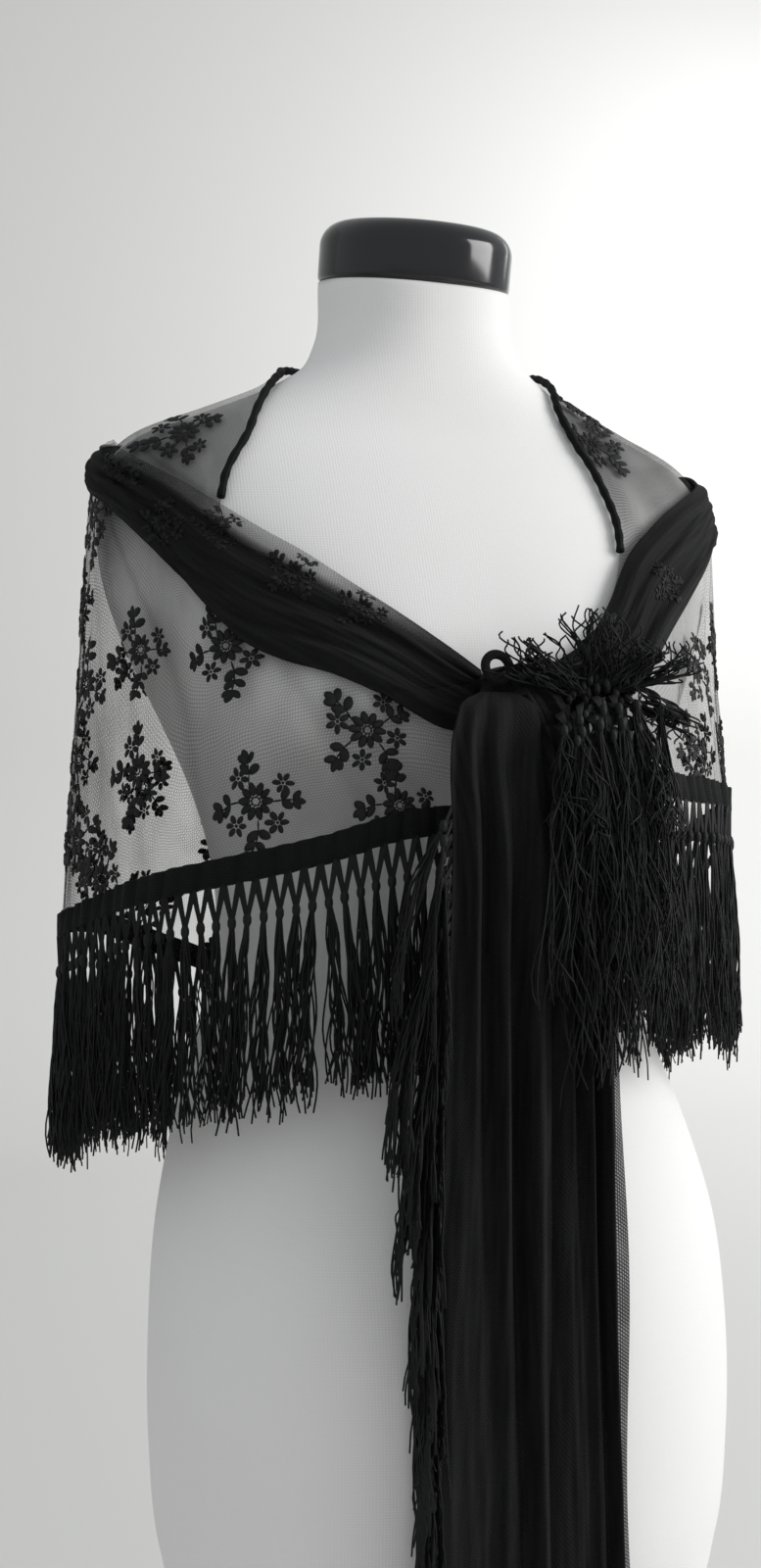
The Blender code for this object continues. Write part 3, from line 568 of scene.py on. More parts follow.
def sprig(x, y, heading, turn, pairs, leaf):
    """A stem that bends a little more at each pair of leaves, with a last leaf on its end."""
    parts = []
    for pair in range(pairs):
        parts.append((x, y, heading, 6.4, 1.1))
        x = x + 5.6 * np.sin(np.radians(heading))
        y = y - 5.6 * np.cos(np.radians(heading))
        size = leaf * (1 - 0.10 * pair)
        parts += [(x, y, heading + 52, size, 0.66 * size), (x, y, heading - 52, size, 0.66 * size)]
        heading = heading + turn
    return [*parts, (x, y, heading, 0.95 * leaf, 0.62 * leaf)]


# each pad of stitches: across and down from the spray's middle, heading, length and width, in mm and degrees
BLOOM = [*wreath(0, 0, 2.7, 10, 0, 0, 7.0, 4.2), *wreath(0, 0, 1.8, 8, 0, 90, 2.0, 1.1)]
SPRAY = np.array(
    [
        *BLOOM,
        *daisy(-13, -7, 5.0),
        *daisy(11, -13, 4.6),
        *daisy(14, 7, 5.2),
        *daisy(-6, 14, 4.6),
        *sprig(-6, -6, -20, -14, 2, 7.2),
        *sprig(8, -2, 62, 12, 2, 7.0),
        *sprig(4, 8, 158, 14, 3, 7.4),
        *sprig(-8, 3, -118, -14, 2, 7.0),
    ]
)


def read(grid, row, column):
    """The grid between its points: the four around each place, blended by how near they are."""
    row = np.clip(row, 0, grid.shape[0] - 1.001)
    column = np.clip(column, 0, grid.shape[1] - 1.001)
    low_row, low_column = row.astype(int), column.astype(int)
    a, b = (row - low_row)[..., None], (column - low_column)[..., None]
    upper = grid[low_row, low_column] * (1 - b) + grid[low_row, low_column + 1] * b
    lower = grid[low_row + 1, low_column] * (1 - b) + grid[low_row + 1, low_column + 1] * b
    return upper * (1 - a) + lower * a


def embroider(name, grid, out, spots, material, height=0.0007, lift=0.0002, pads=SPRAY):
    """Pads of stitches on a cloth. Each pad is a tube of 6-sided rings, wide across and low, that narrows at both
    ends as the root of a sine. Its flat place in mm turns into rows and columns by the cloth's own slopes there."""
    spots = np.array(spots, float)
    row, column, spin, size = spots.T
    low_row = np.clip(row.astype(int), 1, grid.shape[0] - 2)
    low_column = np.clip(column.astype(int), 1, grid.shape[1] - 2)
    by_column = 0.5 * (grid[low_row, low_column + 1] - grid[low_row, low_column - 1])
    by_row = 0.5 * (grid[low_row + 1, low_column] - grid[low_row - 1, low_column])
    side = -by_column / np.linalg.norm(by_column, axis=-1, keepdims=True)
    down = np.cross(out[low_row, low_column], side)
    down = np.where((down * by_row).sum(-1, keepdims=True) > 0, down, -down)
    slopes = np.stack([(by * way).sum(-1) for way in (side, down) for by in (by_column, by_row)])
    whole = slopes[0] * slopes[3] - slopes[1] * slopes[2]
    along = np.array((0.02, 0.12, 0.34, 0.64, 0.88, 0.98))
    around = np.radians(np.arange(0, 360, 60.0))
    x, y, heading, length, width = pads.T[:, :, None, None] / 1000
    heading = np.radians(heading * 1000)
    narrow = np.sqrt(np.sin(np.pi * along))[:, None]
    run = length * along[:, None]
    aside = 0.5 * width * narrow * np.cos(around)
    flat_x = x + run * np.sin(heading) + aside * np.cos(heading)
    flat_y = y - run * np.cos(heading) + aside * np.sin(heading)
    rise = height * narrow * (0.5 + 0.5 * np.sin(around)) + lift + 0 * flat_x
    spin, size = np.radians(spin)[:, None, None, None], size[:, None, None, None]
    turned_x = size * (flat_x * np.cos(spin) - flat_y * np.sin(spin))
    turned_y = size * (flat_x * np.sin(spin) + flat_y * np.cos(spin))
    slopes, whole = slopes[..., None, None, None], whole[:, None, None, None]
    place_column = column[:, None, None, None] + (slopes[3] * turned_x - slopes[1] * turned_y) / whole
    place_row = row[:, None, None, None] + (slopes[0] * turned_y - slopes[2] * turned_x) / whole
    inside = (place_row > 2) & (place_row < grid.shape[0] - 3)
    inside = inside & (place_column > 2) & (place_column < grid.shape[1] - 3)
    keep = inside.all(axis=(2, 3))
    place_row, place_column = place_row[keep], place_column[keep]
    rise = np.broadcast_to(rise, inside.shape)[keep][..., None]
    points = read(grid, place_row, place_column) + rise * read(out, place_row, place_column)
    count, rings, sides = points.shape[:3]
    flat_map = np.stack(np.broadcast_arrays(run * 1.0, aside), -1)
    flat_map = np.broadcast_to(flat_map, (*inside.shape, 2))[keep]
    made = build(name, points, tube_faces(count, rings, sides), material, flat_map)
    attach(made, "root")
    return made


satin, tree, shader = new_finish(
    "rayon_satin_stitch", Base_Color=paint("#08080a"), Roughness=0.6, Specular_IOR_Level=0.3
)
flat = add(tree, "UVMap", uv_map="flat").outputs["UV"]
# Stitches lie side by side across each pad, 0.4 mm apart in the real thing: drawn 0.8 mm apart.
rows_of_stitches = add(tree, "TexWave", {"Vector": flat, "Scale": 393.0, "Distortion": 0.4}, bands_direction="X")
raised(tree, shader, rows_of_stitches.outputs["Fac"], 0.5, 0.0003)


def spots_at(places):
    """Rows and columns of the net that are nearest to given azimuths and heights, with each spray's turn and size."""
    found = []
    for azimuth, height, spin, size in places:
        miss = ((net_azimuth - azimuth) / 60) ** 2 + ((net_height - height) / 0.15) ** 2
        row, column = np.unravel_index(miss.argmin(), miss.shape)
        found.append((row, column, spin, size))
    return found


# azimuth, height, turn and size of each spray
SPRAY_PLACES = (
    (74, 0.905, 20, 0.95), (87, 0.862, -15, 1.0), (86, 0.770, 10, 1.0), (72, 0.785, -25, 0.9),
    (70, 0.722, 15, 1.0), (57, 0.786, -10, 1.0), (48.5, 0.706, 20, 1.05), (30, 0.742, -20, 1.0),
    (24, 0.704, 30, 0.9), (86, 0.684, -12, 1.0), (101, 0.730, 25, 1.0), (106, 0.920, 0, 1.0),
    (118, 0.794, -20, 1.0), (108, 0.666, 14, 1.0), (123, 0.712, 8, 1.0), (124, 0.870, 30, 1.0),
    (128, 0.640, -18, 1.0), (139, 0.780, 16, 1.0), (145, 0.920, -8, 1.0), (146, 0.690, -12, 1.0),
    (150, 0.605, 24, 1.0), (158, 0.845, 10, 1.0), (163, 0.745, 22, 1.0), (170, 0.655, -8, 1.0),
    (174, 0.575, 12, 1.0), (180, 0.915, 0, 1.0), (184, 0.790, -15, 1.0), (189, 0.705, 18, 1.0),
    (194, 0.615, -22, 1.0), (202, 0.850, 12, 1.0), (207, 0.750, -10, 1.0), (213, 0.665, 16, 1.0),
    (216, 0.595, 0, 1.0), (216, 0.920, 18, 1.0), (228, 0.800, -20, 1.0), (232, 0.715, 10, 1.0),
    (238, 0.645, -14, 1.0), (240, 0.880, 25, 1.0), (252, 0.760, 5, 1.0), (254, 0.925, -18, 1.0),
    (257, 0.690, 22, 1.0), (267, 0.815, -8, 1.0), (275, 0.735, 15, 1.0), (287, 0.800, 28, 1.0),
    (292, 0.735, -16, 0.95), (303, 0.780, 10, 0.95), (312, 0.735, 26, 0.9), (304, 0.912, 40, 0.9),
    (95, 0.818, 40, 1.0), (78, 0.665, -30, 1.0), (97, 0.690, 60, 1.0), (290, 0.938, -20, 0.8),
)
sprays = embroider("net_sprays", net_grid, net_out, spots_at(SPRAY_PLACES), satin, height=0.0009, lift=0.0001)

# Rolled neck edge
# The long straight side of the triangle is rolled over a cord and stitched down. It follows the net's top edge
# from one front fold round the back of the neck to the other.
ROLL_COLUMNS = slice(98, 408)
ROLL_WIDTH = 0.0045


def tubing(paths, radius, out, sides=4):
    """Rings of points along many paths: each ring lies square to the path, and starts square to the way out."""
    heading = np.gradient(paths, axis=-2)
    heading /= np.maximum(np.linalg.norm(heading, axis=-1, keepdims=True), 1e-12)
    first = np.cross(heading, out)
    first /= np.maximum(np.linalg.norm(first, axis=-1, keepdims=True), 1e-9)
    second = np.cross(heading, first)
    turn = np.linspace(0, 2 * np.pi, sides, endpoint=False)[:, None]
    spoke = np.cos(turn) * first[..., None, :] + np.sin(turn) * second[..., None, :]
    return paths[..., None, :] + np.asarray(radius)[..., None, None] * spoke


trim, tree, shader = new_finish("woven_viscose_band", Roughness=0.8, Specular_IOR_Level=0.2)
flat = add(tree, "UVMap", uv_map="flat").outputs["UV"]
# Close plain weave: cords along the band 1.5 mm apart, picks across it 1.1 mm apart.
cords_along = add(tree, "TexWave", {"Vector": flat, "Scale": 209.0, "Distortion": 0.3}, bands_direction="Y")
picks = add(tree, "TexWave", {"Vector": flat, "Scale": 285.0, "Distortion": 0.5}, bands_direction="X")
weave = add(tree, "Math", {0: cords_along.outputs["Fac"], 1: picks.outputs["Fac"]}, operation="MULTIPLY")
raised(tree, shader, weave.outputs["Value"], 0.7, 0.0005)
toned(tree, shader, weave.outputs["Value"], "#050606", "#111213")

roll_path = net_grid[0, ROLL_COLUMNS] + 0.0012 * net_out[0, ROLL_COLUMNS]
roll_twist = 1 + 0.10 * np.sin(np.arange(len(roll_path)) * 0.9)
roll_rings = tubing(roll_path[None], 0.5 * ROLL_WIDTH * roll_twist[None], net_out[0, ROLL_COLUMNS][None], sides=8)
roll_length = running(roll_path)
roll_map = np.stack(np.broadcast_arrays(roll_length[:, None], np.linspace(0, 0.012, 8)), -1)
roll = build("rolled_edge", roll_rings, tube_faces(1, len(roll_path), 8), trim, roll_map)
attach(roll, "root")
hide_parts("neck_edge")

# Hem band
# A close woven band 15 mm tall is sewn along the two short sides of the triangle, over the net's edge. The
# fringe is knotted into its lower side.
BAND_HEIGHT = 0.015
BAND_WALL = 0.0010
hem_out = net_out[-1]
hem_up = net_grid[-2] - net_grid[-1]
hem_up /= np.linalg.norm(hem_up, axis=-1, keepdims=True)
hem_line = net_grid[-1] + 0.0016 * hem_out
# share of the band's height and of its wall at each corner of its section
band_section = (
    (0.0, 0.1), (0.03, 0.5), (0.5, 0.62), (0.97, 0.5), (1.0, 0.1), (0.97, -0.5), (0.5, -0.5), (0.03, -0.5)
)
band_rings = np.stack(
    [hem_line + BAND_HEIGHT * up * hem_up + BAND_WALL * out * hem_out for up, out in band_section], 1
)
hem_length = running(hem_line)
band_map = np.stack(np.broadcast_arrays(hem_length[:, None], BAND_HEIGHT * np.array(band_section)[:, 0]), -1)
band = build("hem_woven_band", band_rings[::-1], tube_faces(1, NET_COLUMNS, 8), trim, band_map[::-1])
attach(band, "root")
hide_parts("hem_band")

# Fringe
# Soft twisted viscose threads are drawn through the band in bunches. Half of each bunch and half of the next
# are tied together in an overhand knot 19 mm down, and hang loose from there to cut ends.
KNOT_DROP = 0.019
BUNCH_PITCH = 0.0088
THREAD_RADIUS = 0.0005
AHEAD = (0, -1.0, 0)
random = np.random.default_rng(5)

yarn, tree, shader = new_finish("twisted_viscose_yarn", Roughness=0.65, Specular_IOR_Level=0.3)
place = add(tree, "TexCoord").outputs["Object"]
twist = add(tree, "TexWave", {"Vector": place, "Scale": 260.0, "Distortion": 2.0}, bands_direction="DIAGONAL")
raised(tree, shader, twist.outputs["Fac"], 0.3, 0.0002)
toned(tree, shader, add(tree, "TexNoise", {"Vector": place, "Scale": 120.0}).outputs["Fac"], "#040505", "#0e0f11")


def hanging_threads(name, left, right, knots, fall, out, curl, spread, replaced, threads=10):
    """Loose threads: in from two roots to the bunch's knot, then down by the fall, sideways first and then straight
    down. Waves grow with the way down. Returns the piece of threads and the piece of knots."""
    bunches = len(knots)
    out = np.broadcast_to(out, knots.shape)
    side = right - left
    side /= np.linalg.norm(side, axis=-1, keepdims=True)
    side, out = side[:, None, None], out[:, None, None]
    number = np.arange(threads)
    from_left = (number < threads / 2)[None, :, None]
    within = (3.0 * (number % (threads / 2)) / (threads / 2 - 1) - 1.5)[None, :, None, None]
    root = np.where(from_left, left[:, None], right[:, None])[:, :, None] + 0.0009 * within * side
    tied = knots[:, None, None] + 0.00045 * within * side + 0.0004 * np.sign(from_left[..., None] - 0.5) * out
    inward = np.linspace(0, 1, 5)[:, None]
    header = root + (tied - root) * inward
    down = np.linspace(0, 1, 17)[1:, None]
    own = random.uniform(-1, 1, (8, bunches, threads, 1, 1))
    length = 1 + 0.10 * own[0] * np.abs(own[0])
    drift = fall[:, None, None] * np.array((1, 1, 0)) * (1 - (1 - down) ** 2)
    drop = fall[:, None, None] * np.array((0, 0, 1)) * down * length
    fan = spread * (0.9 * within / 1.5 + 0.6 * own[1]) * down**0.8 * side + 0.6 * spread * own[2] * down * out
    grows = curl * (0.35 + 0.65 * down) * np.minimum(6 * down, 1)
    wave_side = np.sin(2 * np.pi * (1.4 + 0.6 * own[3]) * down + 3 * own[4]) + 0.25 * np.sin(13 * down + 3 * own[6])
    wave_out = np.sin(2 * np.pi * (1.2 + 0.6 * own[4]) * down + 3 * own[5]) + 0.25 * np.sin(11 * down + 3 * own[7])
    loose = tied + drift + drop + fan + grows * (wave_side * side + wave_out * out)
    paths = np.concatenate([header, loose], axis=2).reshape(bunches * threads, -1, 3)
    paths_out = np.repeat(out[:, 0], threads, axis=0)
    rings = tubing(paths, THREAD_RADIUS * np.ones(paths.shape[:2]), paths_out + 0 * paths)
    strands = build(name, rings, tube_faces(len(paths), paths.shape[1], 4), yarn)
    climb = np.array((0.0035, 0.0028, 0.0010, -0.0010, -0.0028, -0.0035))
    girth = np.array((0.0006, 0.0016, 0.0022, 0.0022, 0.0015, 0.0006))
    knot_path = knots[:, None] + climb[:, None] * np.array((0, 0, 1.0))
    knot_rings = tubing(knot_path, girth + 0 * knot_path[..., 0], out[:, 0] + 0 * knot_path, sides=8)
    tied_knots = build(name + "_knots", knot_rings, tube_faces(bunches, 6, 8), yarn)
    for piece in (strands, tied_knots):
        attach(piece, "root")
    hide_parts(replaced)
    return strands, tied_knots


def along_line(line, length, where):
    """Points of a line at given running lengths."""
    return np.stack([np.interp(where, length, line[:, k]) for k in range(3)], -1)


HEM_ENDS = np.array((0, 17, 33, 50, 66)) / 66
LOOSE_LENGTHS = (0.094, 0.099, 0.106, 0.114)
hem_fringe = []
for part, start, end, loose_length in zip(
    ("left_front", "left_back", "right_back", "right_front"), HEM_ENDS[:-1], HEM_ENDS[1:], LOOSE_LENGTHS
):
    first, last = hem_length[int(start * (NET_COLUMNS - 1))], hem_length[int(end * (NET_COLUMNS - 1))]
    bunches = int(round((last - first) / BUNCH_PITCH))
    roots = np.linspace(first, last, bunches + 1)
    middle = 0.5 * (roots[1:] + roots[:-1])
    knots = along_line(hem_line, hem_length, middle) - np.array((0, 0, KNOT_DROP))
    sway = random.uniform(-0.004, 0.004, (bunches, 1)) + 0.003 * np.sin(np.arange(bunches) * 0.7)[:, None]
    out = along_line(hem_out, hem_length, middle)
    out = out * np.array((1, 1, 0)) / np.linalg.norm(out[:, :2], axis=-1, keepdims=True)
    side = np.cross(out, np.array((0, 0, 1.0)))
    fall = sway * side + random.uniform(-0.002, 0.003, (bunches, 1)) * out
    fall[:, 2] -= loose_length * random.uniform(0.92, 1.06, bunches)
    lift = np.array((0, 0, 0.0012))
    hem_fringe += hanging_threads(
        "fringe_" + part,
        along_line(hem_line, hem_length, roots[:-1]) + lift,
        along_line(hem_line, hem_length, roots[1:]) + lift,
        knots,
        fall,
        out,
        curl=0.0026,
        spread=0.0044,
        replaced="hem_fringe_" + part,
        threads=18,
    )

# Front folds
# The net of each front edge is folded over on itself four or five times from the shoulder to the knot, so it
# is almost solid there. Its layers slip on each other and show as long fine creases.

# azimuth, height of the upper and of the lower edge, lift of the ridges over the net
LEFT_FOLD = np.array((
    (99, 0.907, 0.902, 0.0010),
    (90, 0.904, 0.880, 0.0026),
    (80, 0.892, 0.862, 0.0038),
    (71, 0.877, 0.838, 0.0048),
    (62, 0.860, 0.808, 0.0056),
    (54, 0.846, 0.787, 0.0060),
    (46, 0.834, 0.777, 0.0062),
    (36, 0.818, 0.769, 0.0060),
    (26, 0.803, 0.757, 0.0056),
    (16, 0.788, 0.743, 0.0050),
    (6, 0.773, 0.739, 0.0042),
))
RIGHT_FOLD = np.array((
    (264, 0.904, 0.900, 0.0008),
    (273, 0.905, 0.876, 0.0012),
    (284, 0.893, 0.860, 0.0026),
    (296, 0.876, 0.834, 0.0058),
    (306, 0.860, 0.812, 0.0078),
    (317, 0.840, 0.790, 0.0088),
    (328, 0.812, 0.768, 0.0080),
    (338, 0.790, 0.753, 0.0066),
    (347, 0.778, 0.746, 0.0050),
    (353, 0.772, 0.744, 0.0040),
))
FOLD_CLEARANCE = 0.0011
FOLD_WALL = 0.0016
FOLD_ROWS, FOLD_COLUMNS = 84, 220


def slab_faces(rows, columns):
    """Faces of cloth with a wall: a grid in front, the same grid behind, and a rim round both."""
    index = np.arange(rows * columns).reshape(rows, columns)
    front = grid_faces(rows, columns)
    rim = np.concatenate([index[0, :-1], index[:-1, -1], index[-1, :0:-1], index[:0:-1, 0]])
    after = np.roll(rim, -1)
    behind = rows * columns
    return np.concatenate([front, front[:, ::-1] + behind, np.stack([rim, after, after + behind, rim + behind], -1)])


def creases(across, along, bands):
    """Long creases: cosines across the cloth, whose places wander a little as they run along it."""
    total = np.zeros(np.broadcast_shapes(across.shape, along.shape))
    for count, depth, wander, pace, phase in bands:
        total = total + depth * np.cos(2 * np.pi * count * across + wander * np.sin(pace * along + phase) + 5 * phase)
    return total


folded, tree, shader = new_finish("folded_nylon_net", Roughness=0.85, Specular_IOR_Level=0.2)
flat, threads_here = net_threads(tree, 0.0015)
streaks = add(tree, "Mapping", {"Vector": flat, "Scale": (22.0, 260.0, 1.0)})
crease_bumps_and_painted_sheen = add(tree, "TexNoise", {"Vector": streaks.outputs["Vector"], "Scale": 1.0, "Detail": 5.0})
# Painted sheen: the folded net's colour is lighter along long streaks that follow its creases, where light catches
# the creased layers. The same streaks also raise the creases as bumps.
toned(tree, shader, crease_bumps_and_painted_sheen.outputs["Fac"], "#090909", "#1c1c1d", 0.35, 0.75)
relief = add(tree, "Math", {0: threads_here, 1: crease_bumps_and_painted_sheen.outputs["Fac"]}, operation="ADD")
raised(tree, shader, relief.outputs["Value"], 0.5, 0.0005)
single = add(tree, "Attribute", attribute_name="single")
holes = add(tree, "MapRange", {"Value": threads_here, "From Min": 0.3, "To Min": 0.62, "To Max": 0.80})
seen = add(tree, "Math", {0: single.outputs["Fac"], 1: holes.outputs["Result"]}, operation="MULTIPLY")
solid = add(tree, "Math", {0: 1.0, 1: seen.outputs["Value"]}, operation="SUBTRACT", use_clamp=True)
tree.links.new(solid.outputs["Value"], shader.inputs["Alpha"])


def cloth_slab(name, face, back, material, replaced, lengthwise=1):
    """A cloth piece with a wall, mapped flat in metres, which stands for a solid of the frame. The map's first
    length is turned down the columns where lengthwise is -1."""
    flat_map = flat_lengths(face)[..., ::lengthwise]
    made = build(name, np.stack([face, back]), slab_faces(*face.shape[:2]), material, np.stack([flat_map, flat_map]))
    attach(made, "root")
    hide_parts(replaced)
    return made


def front_fold(name, table, ridges, bands, sheer, replaced):
    """A folded edge over the net: rounded ridges side by side, with finer creases, gathered towards both ends. Its
    upper share, down to the sheer value, is one layer of net alone."""
    order = np.argsort(table[:, 0])
    at = table[order, 0]
    azimuth = np.linspace(at[0], at[-1], FOLD_COLUMNS)[None]
    upper, lower, lift = [through(azimuth, at, table[order, k]) for k in (1, 2, 3)]
    across = np.linspace(0, 1, FOLD_ROWS)[:, None]
    along = azimuth / 20
    height = upper + (lower - upper) * across
    wave = 0.5 - 0.5 * np.cos(2 * np.pi * ridges * across + 1.6 * np.sin(1.3 * along) * np.sin(np.pi * across))
    edge = np.clip(5 * np.minimum(across, 1 - across), 0, 1)
    fine = creases(across, along, bands) * edge
    above = NET_WALL + FOLD_CLEARANCE + lift * (0.15 + (0.35 + 0.50 * wave) * edge) + 0.0005 * edge
    azimuth = azimuth + 0 * height
    back = on_cloth(azimuth, height, above)
    face = on_cloth(azimuth, height, above + FOLD_WALL + fine)
    made = cloth_slab(name, face, back, folded, replaced)
    fade = np.clip((sheer - across) / 0.12, 0, 1) * np.clip((np.abs(azimuth - at[0]) - 4) / 30, 0, 1)
    point_values(made, "single", np.stack([fade, fade]))
    return made, face


# number, depth, wander, pace and phase of each set of creases
LEFT_CREASES = ((5, 0.0006, 2.6, 0.9, 0.2), (9, 0.00035, 3.4, 1.3, 1.1), (17, 0.00016, 4.0, 1.9, 2.3))
RIGHT_CREASES = ((4, 0.0006, 2.0, 0.8, 0.7), (8, 0.0003, 3.0, 1.4, 1.9), (15, 0.00016, 4.2, 2.1, 0.4))
left_fold, left_face = front_fold("left_front_fold", LEFT_FOLD, 4, LEFT_CREASES, 0.26, "collar_fold_left")
right_fold, right_face = front_fold("right_front_fold", RIGHT_FOLD, 3, RIGHT_CREASES, 0.0, "collar_fold_right")
# row and column of the fold's grid, turn and size of each spray
fold_sprays = embroider(
    "left_fold_sprays",
    left_face,
    facing(left_face),
    [(18, 62, 30, 0.6), (20, 96, -40, 0.6), (16, 128, 75, 0.6), (50, 150, 10, 0.6), (18, 172, -60, 0.65)],
    satin,
    height=0.0004,
)
right_sprays = embroider(
    "right_fold_sprays", right_face, facing(right_face), [(44, 118, -50, 0.6)], satin, height=0.0004
)

# Knot
# The two ends cross and are tied once over each other. The wrapped part is a tight bundle of net, a small
# loop stands out beside it, and the end that goes under shows as a short piece with an embroidered ring.
# piece and node, azimuth of its sides, height of its foot and top, clearance, thickness, grooves and their slant
KNOT_PADS = (
    ("knot_bundle", "knot_core", (8.5, -12.5), (0.737, 0.774), 0.0092, 0.0175, 3, 0.5),
    ("knot_under_piece", "knot_cross", (-13.5, -25), (0.742, 0.770), 0.0104, 0.0095, 2, 0.9),
)
for name, node, azimuths, levels, out, thick, grooves, slant in KNOT_PADS:
    square_across, square_down = np.meshgrid(np.linspace(-1, 1, 72), np.linspace(-1, 1, 64))
    pad_across = square_across * np.sqrt(1 - 0.35 * square_down**2)
    pad_down = square_down * np.sqrt(1 - 0.35 * square_across**2)
    azimuth = azimuths[0] + (azimuths[1] - azimuths[0]) * (pad_across + 1) / 2
    level = levels[1] + (levels[0] - levels[1]) * (pad_down + 1) / 2
    dome = np.sqrt(1 - 0.94 * np.maximum(square_across**2, square_down**2))
    slanted = pad_across - slant * pad_down
    groove = 1 - 0.20 * (0.5 + 0.5 * np.cos(np.pi * grooves * slanted))
    groove = groove + 0.05 * np.cos(2.7 * np.pi * grooves * slanted + 1)
    groove = groove + 0.03 * np.cos(6.1 * np.pi * grooves * slanted)
    back = on_cloth(azimuth, level, out + 0 * level)
    face = on_cloth(azimuth, level, out + thick * dome * groove)
    cloth_slab(name, face[:, ::-1], back[:, ::-1], folded, node)
    if node == "knot_cross":
        ring_cloth = face[:, ::-1]
embroider("knot_ring", ring_cloth, facing(ring_cloth), [(32, 36, 0, 0.9)], satin, pads=np.array(BLOOM))
LOOP_RINGS, LOOP_SIDES = 40, 12
LOOP_CENTRE = (-0.0150, -0.1560, 0.7735)
LOOP_RADIUS = 0.0066
LOOP_THICK = 0.0048
turn = np.linspace(0, 2 * np.pi, LOOP_RINGS, endpoint=False)
loop_path = np.stack([np.cos(turn), 0.3 * np.sin(turn), np.sin(turn)], -1) * LOOP_RADIUS + np.array(LOOP_CENTRE)
away = np.stack([np.cos(turn), 0 * turn, np.sin(turn)], -1)
around = np.linspace(0, 2 * np.pi, LOOP_SIDES, endpoint=False)
loop_rings = loop_path[:, None] + 0.5 * LOOP_THICK * (
    np.cos(around)[:, None] * away[:, None] + np.sin(around)[:, None] * np.array((0, 1.0, 0))
)
index = np.arange(LOOP_RINGS * LOOP_SIDES).reshape(LOOP_RINGS, LOOP_SIDES)
beside, after = np.roll(index, -1, 0), np.roll(index, -1, 1)
loop_faces = np.stack([index, after, np.roll(beside, -1, 1), beside], -1).reshape(-1, 4)
loop_lengths, loop_girths = np.linspace(0, 0.04, LOOP_RINGS), np.linspace(0, 0.015, LOOP_SIDES)
loop_map = np.stack(np.meshgrid(loop_lengths, loop_girths, indexing="ij"), -1)
loop = build("small_loop", loop_rings, loop_faces[:, ::-1], folded, loop_map)
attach(loop, "root")
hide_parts("knot_loop")

# Tails
# Below the knot the two ends of the triangle hang down in close lengthwise pleats, one a little behind the
# other. Each ends in the same fringe as the hem, and a strip of single net shows at the edge of the rear one.

# height, left edge, right edge, distance in front of the axis and depth of the pleats
FRONT_TAIL = np.array((
    (0.7610, -0.024, -0.006, 0.1560, 0.0003),
    (0.7570, -0.034, 0.000, 0.1605, 0.0006),
    (0.7480, -0.040, 0.004, 0.1635, 0.0012),
    (0.7390, -0.043, 0.004, 0.1650, 0.0018),
    (0.7240, -0.045, 0.004, 0.1670, 0.0028),
    (0.7000, -0.046, 0.006, 0.1710, 0.0045),
    (0.6200, -0.049, 0.006, 0.1740, 0.0060),
    (0.5000, -0.053, 0.007, 0.1760, 0.0065),
    (0.3600, -0.057, 0.007, 0.1780, 0.0070),
    (0.2250, -0.060, 0.008, 0.1780, 0.0070),
))
BACK_TAIL = np.array((
    (0.7450, 0.0075, 0.027, 0.1540, 0.0008),
    (0.7320, 0.0080, 0.031, 0.1610, 0.0020),
    (0.7200, 0.0085, 0.035, 0.1650, 0.0030),
    (0.6900, 0.0085, 0.040, 0.1690, 0.0045),
    (0.6000, 0.0085, 0.042, 0.1720, 0.0050),
    (0.4800, 0.0095, 0.044, 0.1740, 0.0055),
    (0.3500, 0.0095, 0.047, 0.1760, 0.0060),
    (0.2420, 0.0105, 0.049, 0.1760, 0.0060),
))
TAIL_WALL = 0.0014
TAIL_ROWS, TAIL_COLUMNS = 300, 96


def tail(name, table, pleats, bands, tuck, replaced):
    """A hanging end: pleats are cosines across it, uneven in depth, whose places wander on the way down. Its left
    edge is tucked back behind the tail beside it."""
    order = np.argsort(table[:, 0])
    at = table[order, 0]
    height = np.linspace(at[-1], at[0], TAIL_ROWS)[:, None]
    left, right, front, depth = [through(height, at, table[order, k]) for k in (1, 2, 3, 4)]
    across = np.linspace(0, 1, TAIL_COLUMNS)[None]
    slip = 1.6 * np.sin(5 * height + 2.6 * across) + 1.7 * np.sin(4.6 * across + 8 * height)
    wave = np.cos(2 * np.pi * pleats * across + slip)
    uneven = 0.55 + 0.45 * np.sin(5 * across + 8 * height)
    behind = np.clip(1 - across / 0.22, 0, 1) ** 1.5 * np.clip(depth / 0.004, 0, 1)
    x = left + (right - left) * across - 1.2 * tuck * behind
    y = -front + depth * uneven * wave + creases(across, 9 * height, bands) * np.clip(depth / 0.004, 0, 1)
    y = y + tuck * behind
    back = np.stack([x, y, height + 0 * across], -1)
    face = back - np.array((0, TAIL_WALL, 0))
    return cloth_slab(name, face, back, folded, replaced, -1), face


TAIL_CREASES = ((3, 0.0007, 2.8, 0.7, 0.3), (7, 0.00022, 3.4, 1.2, 1.4), (13, 0.0001, 3.8, 1.7, 2.2))
front_tail, front_face = tail("front_tail", FRONT_TAIL, 3, TAIL_CREASES, 0.0, "tail_front")
back_tail, back_face = tail("back_tail", BACK_TAIL, 3, TAIL_CREASES, 0.013, "tail_back")
tail_sprays = embroider(
    "front_tail_sprays",
    front_face,
    facing(front_face),
    [(60, 30, 20, 0.8), (115, 62, -30, 0.8), (165, 34, 40, 0.8), (215, 64, -10, 0.8), (262, 40, 15, 0.8)],
    satin,
)
back_sprays = embroider(
    "back_tail_sprays",
    back_face,
    facing(back_face),
    [(50, 50, -20, 0.8), (105, 40, 25, 0.8), (160, 56, -35, 0.8), (215, 44, 10, 0.8), (265, 52, -15, 0.8)],
    satin,
)
SHEER_ROWS, SHEER_COLUMNS = 160, 14
SHEER_LAYERS = 0.62
sheer_height = np.linspace(0.70, 0.245, SHEER_ROWS)[:, None]
sheer_across = np.linspace(0, 1, SHEER_COLUMNS)[None]
